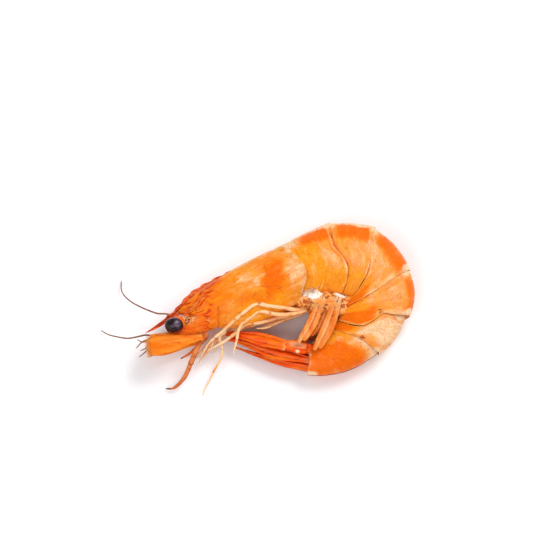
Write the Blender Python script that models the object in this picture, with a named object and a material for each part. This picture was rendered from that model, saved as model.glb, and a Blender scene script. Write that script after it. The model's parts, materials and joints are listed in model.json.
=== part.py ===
"""Whole cooked whiteleg shrimp, curled up and lying on its right side.

Numbers are millimetres until MM turns them into metres. +Z is up. The head points to -X, the back
of the curl to +Y, and the tail comes round below the belly on the -Y side. The shrimp's own middle
plane lies level, so a plate is drawn as an outline on that plane and given its width along Z.
"""

import math

import bpy
import bmesh
from mathutils import Vector

MM = 0.001

# ---- Driving dimensions ------------------------------------------------------------------------
SHELL_GAP = 0.35          # between one plate and the next
EDGE_ROUND = 0.35         # how far a plate's rim is drawn in at its ends
MIDDLE = 8.8              # height of the middle plane above the table at the thorax
CARAPACE_HALF = 9.05      # half of the thorax's width; a little more than MIDDLE, so it lies flat
FRONT_HALF = 4.7          # half width of the carapace at the eyes
EYE_RADIUS = 3.0
EYE_SPREAD = 4.7          # from the middle plane to an eye's centre
RIGHT_PUSH = 1.4          # how far the table presses the right side of the head to the back
ROSTRUM_THICK = 0.9
TOOTH_RISE = 0.9
BELLY_NARROWING = 0.32    # how much slimmer than an oval a plate is at the belly
THORAX_NARROWING = 0.50
NARROWING_FROM = 0.57     # share of the way from back to belly at which a plate starts to narrow
FLANK_POWER = 0.92        # under 1 makes the flanks a little flatter than an ellipse
SOMITE_SWELL = 0.25       # how much wider a somite is at its middle than at its ends
RIDGE_HEIGHT = 0.12       # of the lengthwise ridges on a tail blade, as a share of its thickness
TEETH = 8                 # along the crest of the beak
AROUND = 26               # points round a plate's section
BLADE_AROUND = 10         # points round a flat blade's section
BALL_SEGMENTS = 18
BALL_RINGS = 12

# The borders between the plates, on the middle plane, each from the back down to the belly.
FRONT_EDGE = [(-56.6, -3.1), (-53.0, -4.9), (-49.3, -6.1), (-47.2, -8.6), (-45.4, -10.9)]
HIND_EDGE = [(-22.3, 18.2), (-16.9, 13.7), (-13.1, 7.2), (-14.2, 1.6), (-16.2, -2.6)]
BORDER_1 = [(-5.2, 26.8), (-3.6, 17.5), (0.9, 9.3), (-0.4, 2.6), (-3.0, -1.6)]
BORDER_2 = [(10.4, 25.2), (8.0, 16.0), (7.8, 9.0), (4.6, 3.2), (-0.7, -1.9)]
BORDER_3 = [(21.8, 10.4), (15.3, 5.4), (9.0, 0.8), (-2.4, -4.4)]
BORDER_4 = [(21.6, -5.3), (16.8, -6.0), (12.4, -5.8), (8.8, -8.6), (5.2, -10.0), (-4.0, -6.8)]
BORDER_5 = [(11.9, -18.2), (8.4, -16.4), (5.4, -14.3), (0.6, -12.2), (-6.2, -9.2)]
TAIL_EDGE = [(-12.6, -24.7), (-12.1, -19.8), (-12.7, -15.0)]
CARAPACE_BACK = [(-56.6, -3.1), (-52.0, 2.9), (-44.6, 7.9), (-33.6, 13.3), (-22.3, 18.2)]


# ---- Curves and sections -----------------------------------------------------------------------
def mix(a, b, share):
    return a + (b - a) * share


def ease(share):
    share = min(max(share, 0.0), 1.0)
    return share * share * (3.0 - 2.0 * share)


def spline(points, share):
    """A point on the smooth curve through the given points; share runs from 0 to 1 along it."""
    knots = [Vector(point) for point in points]
    reach = [0.0]
    for before, after in zip(knots, knots[1:]):
        reach.append(reach[-1] + (after - before).length)
    wanted = min(max(share, 0.0), 1.0) * reach[-1]
    span = 0
    while span < len(knots) - 2 and reach[span + 1] < wanted:
        span += 1
    start, end = knots[span], knots[span + 1]
    length = reach[span + 1] - reach[span]
    before = knots[span - 1] if span > 0 else start * 2.0 - end
    after = knots[span + 2] if span + 2 < len(knots) else end * 2.0 - start
    before_length = max((start - before).length, 0.001)
    after_length = max((after - end).length, 0.001)
    leave = ((start - before) / before_length + (end - start) / length).normalized() * length
    arrive = ((end - start) / length + (after - end) / after_length).normalized() * length
    t = (wanted - reach[span]) / length
    return ((2 * t ** 3 - 3 * t ** 2 + 1) * start + (t ** 3 - 2 * t ** 2 + t) * leave
            + (-2 * t ** 3 + 3 * t ** 2) * end + (t ** 3 - t ** 2) * arrive)


def border(points, gap=0.0, start=0.0, end=1.0):
    """A border as a function of 0 to 1, moved by gap towards the tail and shortened at its ends."""
    def at(share):
        place = mix(start, end, share)
        step = 0.01
        along = spline(points, min(place + step, 1.0)) - spline(points, max(place - step, 0.0))
        along.normalize()
        return spline(points, place) + Vector((-along.y, along.x)) * gap
    return at


def add_mesh(name, points, faces, material):
    mesh = bpy.data.meshes.new(name)
    mesh.from_pydata([Vector(point) * MM for point in points], [], faces)
    mesh.validate()
    mesh.materials.append(material)
    work = bmesh.new()
    work.from_mesh(mesh)
    bmesh.ops.recalc_face_normals(work, faces=work.faces)
    work.to_mesh(mesh)
    work.free()
    mesh.shade_smooth()
    mesh.set_sharp_from_angle(angle=math.radians(50))
    part = bpy.data.objects.new(name, mesh)
    shrimp.objects.link(part)
    return part


def loft(name, rings, material):
    """A closed solid through rings of equal count; each end is closed by strips across it."""
    count = len(rings[0])
    points = [point for ring in rings for point in ring]
    faces = []
    for ring in range(len(rings) - 1):
        low = ring * count
        for side in range(count):
            after = (side + 1) % count
            faces.append((low + side, low + after, low + count + after, low + count + side))
    for low in (0, (len(rings) - 1) * count):
        faces.append((low, low + 1, low + count - 1))
        for side in range(1, count // 2 - 1):
            faces.append((low + side, low + side + 1, low + count - side - 1, low + count - side))
        middle = low + count // 2
        faces.append((middle - 1, middle, middle + 1))
    return add_mesh(name, points, faces, material)


def section(front, rear, share, back_line, width, height, drawn_in, narrowing):
    """One ring of a plate: from the back down the left flank to the belly and up the right."""
    ring = []
    deep = (front(0.0) - front(1.0)).length
    inset = drawn_in / max(deep, 1.0)
    for step in range(AROUND):
        turn = 2.0 * math.pi * step / AROUND
        level = (1.0 - math.cos(turn)) / 2.0
        level = mix(inset, 1.0 - inset, level)
        place = mix(front(level), rear(level), share) + back_line(share) * (1.0 - level)
        full = 1.0 - narrowing * ease((level - NARROWING_FROM) / (1.0 - NARROWING_FROM))
        side = math.copysign(abs(math.sin(turn)) ** FLANK_POWER, math.sin(turn)) * full
        rise = max(height + side * (width - drawn_in), 0.0)
        ring.append((place.x, place.y, rise))
    return ring


def plate(name, front, rear, back_line, width_at, height_at, material, stations,
          narrowing=BELLY_NARROWING):
    """A hoop of shell with the flesh inside it, from its front border to its rear border."""
    rings = []
    for share in stations:
        at_end = share in (stations[0], stations[-1])
        drawn_in = EDGE_ROUND if at_end else 0.0
        rings.append(section(front, rear, share, back_line, width_at(share), height_at(share),
                             drawn_in, narrowing))
    return loft(name, rings, material)


def arched(front, rear, rise):
    """How far the back stands out over the straight line between a plate's two ends."""
    chord = rear(0.0) - front(0.0)
    out = Vector((-chord.y, chord.x)).normalized()
    return lambda share: out * (rise * 4.0 * share * (1.0 - share))


def blade(name, spine, half, thick, material, stations, ridges=0.0):
    """A flat leaf along a spine of (x, y, z) points, half wide to each side of it.

    half and thick are functions of 0 to 1 along the spine.
    """
    rings = []
    for station in range(stations):
        share = station / (stations - 1)
        centre = spline(spine, share)
        along = spline(spine, min(share + 0.02, 1.0)) - spline(spine, max(share - 0.02, 0.0))
        across = Vector((-along.y, along.x, 0.0)).normalized()
        normal = along.normalized().cross(across).normalized()
        ring = []
        for step in range(BLADE_AROUND):
            angle = 2.0 * math.pi * step / BLADE_AROUND
            reach = math.cos(angle)
            swell = math.copysign(abs(math.sin(angle)) ** 0.8, math.sin(angle))
            ridge = 1.0 + ridges * math.cos(reach * math.pi * 3.0)
            ring.append(centre + across * (reach * half(share))
                        + normal * (swell * thick(share) * ridge / 2.0))
        rings.append(ring)
    return loft(name, rings, material)


def limb(name, route, radii, material, points=10):
    """A thin round limb: a tapering tube through the route's points."""
    curve = bpy.data.curves.new(name, "CURVE")
    curve.dimensions = "3D"
    curve.bevel_depth = MM
    curve.bevel_resolution = 2
    curve.use_fill_caps = True
    line = curve.splines.new("POLY")
    line.points.add(points - 1)
    for index in range(points):
        share = index / (points - 1)
        centre = spline(route, share) * MM
        line.points[index].co = (centre.x, centre.y, centre.z, 1.0)
        spot = share * (len(radii) - 1)
        lower = min(int(spot), len(radii) - 2)
        line.points[index].radius = mix(radii[lower], radii[lower + 1], spot - lower)
    curve.materials.append(material)
    shrimp.objects.link(bpy.data.objects.new(name, curve))


def ball(name, material):
    """A round piece one millimetre in radius, to be placed or shaped."""
    bpy.ops.mesh.primitive_uv_sphere_add(segments=BALL_SEGMENTS, ring_count=BALL_RINGS, radius=MM)
    part = bpy.context.object
    part.name = name
    part.data.name = name
    part.data.shade_smooth()
    part.data.materials.append(material)
    for owner in list(part.users_collection):
        owner.objects.unlink(part)
    shrimp.objects.link(part)
    return part


# ---- Materials ---------------------------------------------------------------------------------
def finish(name, colour, roughness):
    material = bpy.data.materials.new(name)
    material.use_nodes = True
    shader = material.node_tree.nodes["Principled BSDF"]
    shader.inputs["Base Color"].default_value = (*colour, 1.0)
    shader.inputs["Roughness"].default_value = roughness
    shader.inputs["Metallic"].default_value = 0.0
    return material


def start_collection():
    for thing in list(bpy.data.objects):
        bpy.data.objects.remove(thing, do_unlink=True)
    collection = bpy.data.collections.new("shrimp")
    bpy.context.scene.collection.children.link(collection)
    return collection


shrimp = start_collection()
SHELL = finish("cooked_shell", (0.83, 0.33, 0.09), 0.34)
FLESH = finish("pale_flesh", (0.90, 0.78, 0.62), 0.45)
FAN = finish("tail_fan", (0.80, 0.17, 0.03), 0.36)
LEG = finish("pale_leg", (0.88, 0.60, 0.34), 0.42)
HEAD = finish("head_shell", (0.85, 0.30, 0.05), 0.38)
EYE = finish("black_eye", (0.02, 0.015, 0.02), 0.12)
WHISKER = finish("whisker", (0.35, 0.20, 0.12), 0.50)


# ---- Thorax ------------------------------------------------------------------------------------
def carapace_body():
    front = border(FRONT_EDGE)
    rear = border(HIND_EDGE)

    def back_line(share):
        straight = mix(front(0.0), rear(0.0), share)
        return spline(CARAPACE_BACK, share) - straight

    def width_at(share):
        return mix(FRONT_HALF, CARAPACE_HALF, ease(share / 0.62) ** 0.8)

    stations = [0.0, 0.03] + [0.03 + 0.93 * step / 11 for step in range(1, 12)] + [0.985, 1.0]
    return plate("carapace", front, rear, back_line, width_at, lambda share: MIDDLE, SHELL,
                 stations, THORAX_NARROWING)


def rostrum_outline():
    """Side outline of the saw-edged beak: up over the teeth to the tip, back along the keel."""
    crest = [(-33.0, 12.4), (-44.0, 7.9), (-52.3, 3.1), (-57.4, -2.9), (-66.6, -11.3)]
    keel = [(-66.6, -11.5), (-62.4, -9.6), (-58.2, -6.9), (-53.6, -4.3), (-44.0, 2.0), (-34.0, 10.0)]
    outline = []
    for tooth in range(TEETH):
        share = mix(0.06, 0.80, (tooth / (TEETH - 1)) ** 0.85)
        length = mix(0.050, 0.030, tooth / (TEETH - 1))
        base = spline(crest, share)
        tip = spline(crest, share + length)
        end = spline(crest, share + length * 1.12)
        along = (tip - base).normalized()
        out = Vector((along.y, -along.x))
        outline.append(base)
        outline.append(mix(base, tip, 0.6) + out * TOOTH_RISE * 0.62)
        outline.append(tip + out * TOOTH_RISE)
        outline.append(end)
    outline.append(spline(crest, 0.93))
    outline.append(spline(crest, 1.0))
    outline.extend(spline(keel, step / 9) for step in range(10))
    return outline


def carapace():
    """The one-piece shield of the thorax, joined with the beak that grows out of its crest."""
    body = carapace_body()
    curve = bpy.data.curves.new("beak", "CURVE")
    curve.dimensions = "2D"
    curve.fill_mode = "BOTH"
    curve.extrude = ROSTRUM_THICK / 2.0 * MM
    outline = rostrum_outline()
    line = curve.splines.new("POLY")
    line.points.add(len(outline) - 1)
    for knot, point in zip(line.points, outline):
        knot.co = (point[0] * MM, point[1] * MM, 0.0, 1.0)
    line.use_cyclic_u = True
    drawn = bpy.data.objects.new("beak", curve)
    shrimp.objects.link(drawn)
    drawn.location.z = MIDDLE * MM
    bpy.context.view_layer.update()
    mesh = bpy.data.meshes.new_from_object(drawn.evaluated_get(
        bpy.context.evaluated_depsgraph_get()))
    work = bmesh.new()
    work.from_mesh(mesh)
    bmesh.ops.remove_doubles(work, verts=work.verts, dist=1e-6)
    bmesh.ops.recalc_face_normals(work, faces=work.faces)
    work.to_mesh(mesh)
    work.free()
    beak = bpy.data.objects.new("beak_solid", mesh)
    beak.matrix_world = drawn.matrix_world
    shrimp.objects.link(beak)
    bpy.data.objects.remove(drawn, do_unlink=True)
    join = body.modifiers.new("beak", "BOOLEAN")
    join.operation = "UNION"
    join.solver = "EXACT"
    join.object = beak
    bpy.context.view_layer.update()
    joined = bpy.data.meshes.new_from_object(body.evaluated_get(
        bpy.context.evaluated_depsgraph_get()))
    body.modifiers.clear()
    body.data = joined
    body.data.name = body.name
    bpy.data.objects.remove(beak, do_unlink=True)


carapace()


def head_front():
    """Basal segments of the feelers, between the eyes and the mouth."""
    front = border([(-58.6, -13.0), (-59.3, -14.2), (-59.0, -15.6)])
    rear = border(FRONT_EDGE, gap=-SHELL_GAP, start=0.64)
    back_line = arched(front, rear, -0.9)
    plate("head_front", front, rear, back_line, lambda share: mix(2.2, 4.2, ease(share)),
          lambda share: MIDDLE, HEAD, [0.0, 0.05, 0.3, 0.6, 0.95, 1.0])


head_front()


# ---- Abdomen -----------------------------------------------------------------------------------
def somite(number, front, rear, halves, heights, arch):
    """One joint of the tail between two borders.

    halves and heights are its half width, and its middle's height above the table, at the front
    and at the rear, and arch is how far its back stands out.
    """
    stations = [0.0, 0.05, 0.2, 0.4, 0.6, 0.8, 0.95, 1.0]

    def width_at(share):
        return mix(halves[0], halves[1], share) + SOMITE_SWELL * math.sin(math.pi * share)

    plate(f"somite_{number}", front, rear, arched(front, rear, arch), width_at,
          lambda share: mix(heights[0], heights[1], share), SHELL, stations)


somite(1, border(HIND_EDGE, SHELL_GAP, 0.02, 0.88), border(BORDER_1, 0.0, 0.0, 0.93),
       (8.3, 8.7), (8.75, 8.75), 0.3)
somite(2, border(BORDER_1, 1.4 * SHELL_GAP, 0.03, 0.93), border(BORDER_2, 0.0, 0.0, 0.92),
       (8.3, 8.7), (8.7, 8.65), 0.6)
somite(3, border(BORDER_2, SHELL_GAP, 0.055, 0.92), border(BORDER_3),
       (8.1, 8.1), (8.45, 8.1), 1.5)
somite(4, border(BORDER_3, SHELL_GAP, 0.035), border(BORDER_4),
       (7.6, 7.3), (7.8, 7.35), 1.7)
somite(5, border(BORDER_4, 1.5 * SHELL_GAP, 0.085), border(BORDER_5),
       (6.7, 6.3), (6.9, 6.4), 1.5)
somite(6, border(BORDER_5, SHELL_GAP, 0.09), border(TAIL_EDGE),
       (5.9, 4.3), (6.1, 4.7), 2.6)


# ---- Tail fan ----------------------------------------------------------------------------------
def taper(root, wide, tip, widest=0.45):
    """A leaf's half width along its length: root, then its widest place, then its tip."""
    def at(share):
        if share < widest:
            return mix(root, wide, ease(share / widest))
        return mix(wide, tip, ease((share - widest) / (1.0 - widest)) ** 1.2)
    return at


def telson():
    spine = [(-13.3, -21.7, 4.8), (-22.0, -19.9, 4.7), (-30.0, -17.5, 4.2), (-37.0, -15.0, 3.9)]
    blade("telson", spine, taper(1.9, 1.7, 0.25, 0.2), lambda share: mix(2.9, 0.7, share), FAN, 9)


def uropod_base(side, height):
    spine = [(-13.3, -16.4, height), (-16.6, -15.9, height), (-20.0, -15.0, height)]
    blade(f"uropod_base_{side}", spine, taper(1.4, 1.9, 1.8, 0.4),
          lambda share: mix(2.1, 1.5, share), FAN, 6)


def uropod(side, place, spine, widths, thickness):
    """A blade of the fan; widths are its half width at the root, widest place and tip, and where."""
    blade(f"uropod_{side}_{place}", spine, taper(*widths),
          lambda share: mix(thickness, thickness * 0.6, share), FAN, 11, RIDGE_HEIGHT)


telson()
uropod_base("left", 8.4)
uropod_base("right", 1.5)
uropod("left", "outer", [(-20.6, -15.3, 8.2), (-28.0, -13.2, 7.6), (-35.0, -11.5, 6.7),
                         (-39.8, -11.0, 6.1)], (1.9, 2.3, 0.6, 0.35), 1.1)
uropod("left", "inner", [(-14.2, -19.6, 6.7), (-24.0, -17.0, 6.3), (-33.0, -13.9, 5.6),
                         (-39.2, -12.3, 5.0)], (1.2, 2.5, 0.6, 0.4), 0.9)
uropod("right", "inner", [(-14.2, -19.2, 3.0), (-24.0, -15.9, 2.9), (-33.0, -12.8, 2.4),
                          (-38.9, -11.8, 2.2)], (1.0, 2.5, 0.6, 0.4), 0.8)
uropod("right", "outer", [(-20.6, -14.5, 1.3), (-28.0, -12.4, 1.1), (-34.5, -10.9, 1.0),
                          (-39.0, -10.6, 0.9)], (1.9, 2.2, 0.6, 0.35), 0.9)


# ---- Head --------------------------------------------------------------------------------------
def push(sign):
    """How far a piece of the head is moved: nothing on the left (+1), RIGHT_PUSH on the right."""
    return 0.0 if sign > 0 else RIGHT_PUSH


def eye(side, sign):
    part = ball(f"eye_{side}", EYE)
    for point in part.data.vertices:
        point.co *= EYE_RADIUS
    part.location = Vector((-56.8, -9.7 + push(sign), MIDDLE + sign * EYE_SPREAD)) * MM


def eye_stalk(side, sign):
    shift = push(sign)
    route = [(-54.0, -8.1 + shift, MIDDLE + sign * 3.3),
             (-52.9, -7.5 + shift * 0.6, MIDDLE + sign * 2.5),
             (-51.4, -6.9, MIDDLE + sign * 1.7)]
    limb(f"eye_stalk_{side}", route, (1.5, 1.3, 1.1), HEAD, points=5)


def antennal_scale(side, sign):
    """The stiff leaf outside each feeler's root; its front edge is the widest."""
    height = MIDDLE + sign * 3.9
    shift = push(sign)
    spine = [(-48.4, -13.9 + shift * 0.3, height),
             (-54.0, -15.1 + shift, height + sign * 0.25),
             (-60.0, -16.0 + shift, height + sign * 0.1),
             (-64.5, -16.9 + shift, height - sign * 0.4)]
    blade(f"scale_{side}", spine, taper(1.0, 3.3, 2.9, 0.8), lambda share: mix(1.0, 0.55, share),
          HEAD, 9)


def feeler_roots(side, sign):
    route = [(-59.9, -13.0, MIDDLE + sign * 1.45), (-62.3, -12.9, MIDDLE + sign * 1.4),
             (-64.7, -12.8, MIDDLE + sign * 1.35)]
    limb(f"feeler_root_{side}", route, (1.25, 1.1, 0.8), HEAD, points=5)


for side, sign in (("left", 1.0), ("right", -1.0)):
    eye(side, sign)
    eye_stalk(side, sign)
    antennal_scale(side, sign)
    feeler_roots(side, sign)

# Two short feelers stand on each root, and one long whisker comes off each side of the head.
limb("short_feeler_left_1", [(-65.2, -13.3, 10.3), (-67.0, -14.8, 10.3), (-69.4, -13.7, 9.8)],
     (0.35, 0.2), WHISKER, points=6)
limb("short_feeler_left_2", [(-65.0, -13.9, 9.6), (-66.3, -16.6, 9.2), (-68.4, -17.3, 8.4)],
     (0.35, 0.18), WHISKER, points=6)
limb("short_feeler_right_1", [(-65.2, -13.2, 7.4), (-67.6, -13.9, 7.0), (-69.9, -16.2, 6.3)],
     (0.35, 0.2), WHISKER, points=6)
limb("short_feeler_right_2", [(-64.9, -13.9, 6.7), (-66.6, -17.0, 5.9), (-68.9, -18.7, 4.9)],
     (0.35, 0.18), WHISKER, points=6)
limb("whisker_left", [(-65.3, -12.3, 9.0), (-66.9, -11.7, 7.4), (-69.2, -12.0, 6.4),
                      (-72.7, -12.2, 4.9), (-76.0, -11.4, 3.4), (-79.6, -10.1, 1.8),
                      (-82.1, -8.4, 0.5)], (0.38, 0.33, 0.28, 0.22), WHISKER, points=18)
limb("whisker_right", [(-53.8, -9.6, 8.0), (-55.0, -7.6, 7.7), (-57.2, -5.3, 7.6),
                       (-59.8, -4.4, 7.3), (-62.6, -4.1, 6.7), (-65.2, -3.1, 6.0),
                       (-68.9, -1.2, 4.8), (-71.8, 0.7, 3.7), (-74.1, 3.0, 2.5),
                       (-75.3, 5.3, 1.4), (-75.5, 8.9, 0.5)],
     (0.38, 0.34, 0.30, 0.24), WHISKER, points=28)


# ---- Legs --------------------------------------------------------------------------------------
LEG_RADII = (0.75, 0.70, 0.72, 0.62, 0.60, 0.48, 0.26)
limb("jaw_leg_left", [(-46.8, -12.9, 10.1), (-48.4, -15.0, 9.8), (-50.0, -18.0, 8.5),
                      (-51.6, -21.6, 6.9), (-53.3, -25.0, 5.0), (-55.5, -27.4, 3.0),
                      (-57.6, -28.6, 1.5), (-60.2, -28.5, 0.6)],
     (0.85, 0.9, 0.85, 0.75, 0.6, 0.3), LEG, points=14)
limb("jaw_leg_right", [(-46.8, -12.9, 7.4), (-49.2, -15.3, 6.7), (-51.8, -17.6, 6.1),
                       (-55.0, -19.2, 4.7)], (0.8, 0.7, 0.5, 0.28), LEG, points=8)

limb("leg_left_5", [(-16.6, -4.3, 11.0), (-20.4, -3.7, 12.8), (-25.5, -3.4, 14.2),
                    (-29.6, -2.9, 15.1), (-33.2, -5.1, 14.1), (-37.2, -8.0, 11.9),
                    (-40.9, -11.3, 10.7), (-44.2, -13.6, 9.3), (-46.2, -15.7, 7.8),
                    (-48.1, -18.8, 6.0)], LEG_RADII, LEG, points=20)
limb("leg_left_4", [(-19.6, -6.0, 10.2), (-23.4, -5.8, 11.3), (-28.8, -5.1, 12.5),
                    (-31.2, -6.5, 11.9), (-34.5, -8.8, 10.9), (-35.6, -10.9, 9.9),
                    (-36.1, -13.6, 9.0), (-36.8, -16.2, 8.2), (-37.4, -18.7, 7.2)],
     LEG_RADII, LEG, points=18)
limb("leg_left_3", [(-25.2, -6.8, 9.6), (-29.0, -8.2, 10.4), (-32.7, -8.5, 9.9),
                    (-36.8, -11.3, 7.9), (-40.9, -14.2, 7.4), (-46.0, -16.6, 5.8)],
     LEG_RADII, LEG, points=13)
limb("leg_left_2", [(-39.6, -10.4, 8.2), (-41.9, -12.4, 6.7), (-41.0, -15.2, 5.4),
                    (-41.5, -18.8, 4.2), (-43.7, -22.6, 2.7), (-45.2, -25.6, 1.7),
                    (-46.7, -28.2, 0.9), (-47.6, -30.9, 0.4)],
     (0.6, 0.5, 0.42, 0.36, 0.3, 0.2), LEG, points=14)
limb("leg_left_1", [(-43.8, -12.4, 6.4), (-44.8, -15.0, 4.9), (-47.2, -17.8, 3.6),
                    (-49.0, -20.2, 2.6)], (0.6, 0.5, 0.25), LEG, points=8)
limb("leg_right_5", [(-19.6, -5.9, 7.0), (-22.8, -7.6, 7.9), (-26.4, -9.3, 7.9),
                     (-29.8, -9.6, 8.2)], (0.7, 0.65, 0.5, 0.3), LEG, points=8)
limb("leg_right_4", [(-24.0, -6.8, 6.2), (-26.6, -7.9, 5.2), (-28.9, -9.0, 4.0)],
     (0.7, 0.6, 0.35), LEG, points=6)
limb("leg_right_3", [(-29.4, -7.5, 6.4), (-33.6, -8.6, 4.9), (-38.4, -9.2, 3.2),
                     (-42.3, -11.7, 1.9), (-46.2, -14.9, 0.8)], (0.7, 0.6, 0.45, 0.3), LEG,
     points=10)
limb("leg_right_2", [(-34.8, -9.0, 6.6), (-38.6, -9.8, 4.8), (-42.8, -13.6, 2.6),
                     (-44.0, -16.4, 0.9)], (0.65, 0.55, 0.4, 0.25), LEG,
     points=10)
limb("leg_right_1", [(-42.4, -12.4, 4.6), (-46.4, -14.6, 2.6), (-50.2, -17.8, 1.4),
                     (-52.4, -21.0, 0.6)], (0.6, 0.5, 0.25), LEG, points=8)


# ---- Swimming legs and belly -------------------------------------------------------------------
def belly_flesh():
    """Soft white flesh where the thorax and the first tail joint part at the belly."""
    lump = ball("belly_flesh", FLESH)
    centre = Vector((-7.2, -2.15, 10.0))
    radii = Vector((6.8, 1.7, 4.6))
    unevenness = 0.07
    for point in lump.data.vertices:
        spot = point.co / MM
        swell = 1.0 + unevenness * math.sin(5.0 * spot.x + 1.0) * math.cos(4.0 * spot.z)
        point.co = (centre + spot * radii * swell) * MM


belly_flesh()


def swimming_leg(side, number, root, tip, half, level):
    """One paddle: a narrow stem that opens into a leaf with a blunt end."""
    middle = (mix(root[0], tip[0], 0.5) + 0.5, mix(root[1], tip[1], 0.5) + 0.3, level)
    spine = [(root[0], root[1], level + 0.1), middle, (tip[0], tip[1], level - 0.3)]
    blade(f"swimmeret_{side}_{number}", spine, taper(0.8, half, 0.5, 0.5),
          lambda share: mix(1.0, 0.6, share), LEG, 7)


swimming_leg("left", 1, (-9.6, -4.2), (-14.6, -14.0), 1.35, 12.2)
swimming_leg("left", 2, (-5.2, -4.3), (-10.2, -15.6), 1.45, 12.3)
swimming_leg("left", 3, (-7.4, -4.5), (-12.4, -13.4), 1.4, 10.6)
swimming_leg("left", 4, (-6.4, -4.6), (-12.6, -12.6), 1.3, 9.3)
swimming_leg("left", 5, (-5.4, -5.2), (-11.6, -12.2), 1.1, 8.0)
swimming_leg("right", 5, (-5.4, -5.0), (-11.6, -11.6), 1.0, 6.8)
swimming_leg("right", 4, (-6.4, -4.6), (-12.6, -12.4), 1.2, 5.6)
swimming_leg("right", 3, (-7.4, -4.3), (-12.4, -13.0), 1.3, 4.4)
swimming_leg("right", 2, (-8.0, -4.3), (-12.6, -13.6), 1.3, 3.2)
swimming_leg("right", 1, (-10.4, -4.2), (-14.8, -13.6), 1.3, 2.0)


# ---- Frame -------------------------------------------------------------------------------------
def stand_on_origin():
    """Moves the whole shrimp so that its box stands centred on the origin."""
    anchor = bpy.data.objects.new("anchor", None)
    shrimp.objects.link(anchor)
    bpy.context.view_layer.update()
    depsgraph = bpy.context.evaluated_depsgraph_get()
    corners = []
    for part in shrimp.objects:
        if part is not anchor:
            shown = part.evaluated_get(depsgraph)
            corners.extend(shown.matrix_world @ point.co for point in shown.to_mesh().vertices)
    middle = [(min(c[axis] for c in corners) + max(c[axis] for c in corners)) / 2.0
              for axis in (0, 1)]
    for part in shrimp.objects:
        if part is not anchor:
            part.parent = anchor
    anchor.location = (-middle[0], -middle[1], -min(c.z for c in corners))


stand_on_origin()
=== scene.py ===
# %% [markdown]
# # A whole cooked shrimp
# The solid parts of the shrimp are already built and packed. This lesson dresses them: every plate
# of the shell gets its thin lip and its own colours, the legs get their joints, and the tail fan
# its ridges and fringe. The pieces are drawn on the same board as the solids were, so each lies
# where its solid lies.

# %% Load the solid shrimp
import json
import math
import random

import bpy
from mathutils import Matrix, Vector, noise

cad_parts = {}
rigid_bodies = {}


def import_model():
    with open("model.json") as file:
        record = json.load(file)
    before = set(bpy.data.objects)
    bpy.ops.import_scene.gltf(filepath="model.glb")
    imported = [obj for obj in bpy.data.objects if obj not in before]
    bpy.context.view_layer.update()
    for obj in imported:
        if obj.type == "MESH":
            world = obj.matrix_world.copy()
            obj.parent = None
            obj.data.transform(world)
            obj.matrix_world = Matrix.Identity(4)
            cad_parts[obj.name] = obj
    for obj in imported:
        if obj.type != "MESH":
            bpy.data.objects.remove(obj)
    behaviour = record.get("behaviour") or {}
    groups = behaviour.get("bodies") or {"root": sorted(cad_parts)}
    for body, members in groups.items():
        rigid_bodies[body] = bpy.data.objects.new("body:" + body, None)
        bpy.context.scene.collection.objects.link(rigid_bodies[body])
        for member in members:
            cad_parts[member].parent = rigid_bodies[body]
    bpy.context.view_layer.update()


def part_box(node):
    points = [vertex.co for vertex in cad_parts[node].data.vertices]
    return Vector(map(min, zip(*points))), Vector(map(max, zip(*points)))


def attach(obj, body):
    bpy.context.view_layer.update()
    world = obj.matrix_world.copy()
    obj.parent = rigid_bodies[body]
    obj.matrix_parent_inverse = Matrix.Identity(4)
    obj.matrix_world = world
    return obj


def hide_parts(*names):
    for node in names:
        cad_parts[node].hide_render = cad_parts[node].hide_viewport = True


for thing in list(bpy.data.objects):
    bpy.data.objects.remove(thing, do_unlink=True)
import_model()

# %% [markdown]
# ## The drawing board
# The shrimp was drawn in millimetres on a board of its own, with the head to the left and the
# table at height nought. The left eye is on both drawings, so it gives the step between them.

# %% From the board to the frame
MM = 0.001
MIDDLE = 8.8              # height of the shrimp's middle plane above the table
EYE_ON_BOARD = Vector((-56.8, -9.7, 13.5))
eye_low, eye_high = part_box("eye_left")
SHIFT = (eye_low + eye_high) / 2.0 - EYE_ON_BOARD * MM
print("the board's origin lies at", [round(v, 4) for v in SHIFT])


def to_frame(point):
    return Vector(point) * MM + SHIFT


def to_board(point):
    return (Vector(point) - SHIFT) / MM

# %% [markdown]
# ## Camera and light
# The photograph was taken from nearly overhead, 75 degrees up, so the camera stands there and aims
# at the same spot. A long lens from afar keeps the head and the tail at one scale. A soft lamp
# behind the back of the shrimp leaves a faint shadow in front of it, a weaker one opens up the
# shaded side, and a white room fills in the rest, as in a light tent.

# %% Camera
CAMERA_TILT = math.radians(75.0)
CAMERA_REACH = 0.75
SENSOR = 36.0
PICTURE_PIXELS = 550
PIXEL = 0.335                                   # millimetres on the board that a pixel shows
PICTURE_WIDTH = PICTURE_PIXELS * PIXEL * MM
AIM = to_frame((-23.45, 8.67, MIDDLE))
lens = bpy.data.cameras.new("camera")
lens.sensor_width = SENSOR
lens.lens = SENSOR * CAMERA_REACH / PICTURE_WIDTH
lens.clip_start = 0.01
camera = bpy.data.objects.new("camera", lens)
bpy.context.scene.collection.objects.link(camera)
camera.location = AIM + Vector((0.0, -math.cos(CAMERA_TILT), math.sin(CAMERA_TILT))) * CAMERA_REACH
camera.rotation_euler = (math.pi / 2.0 - CAMERA_TILT, 0.0, 0.0)
bpy.context.scene.camera = camera
bpy.context.scene.view_settings.view_transform = "Standard"
bpy.context.scene.view_settings.look = "Medium High Contrast"
print("lens", round(lens.lens, 1), "mm")


# %% Light
def lamp(name, size, power, place):
    light = bpy.data.lights.new(name, "AREA")
    light.size = size
    light.energy = power
    stand = bpy.data.objects.new(name, light)
    bpy.context.scene.collection.objects.link(stand)
    stand.location = place
    stand.rotation_euler = (-Vector(place)).to_track_quat("-Z", "Y").to_euler()


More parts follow.
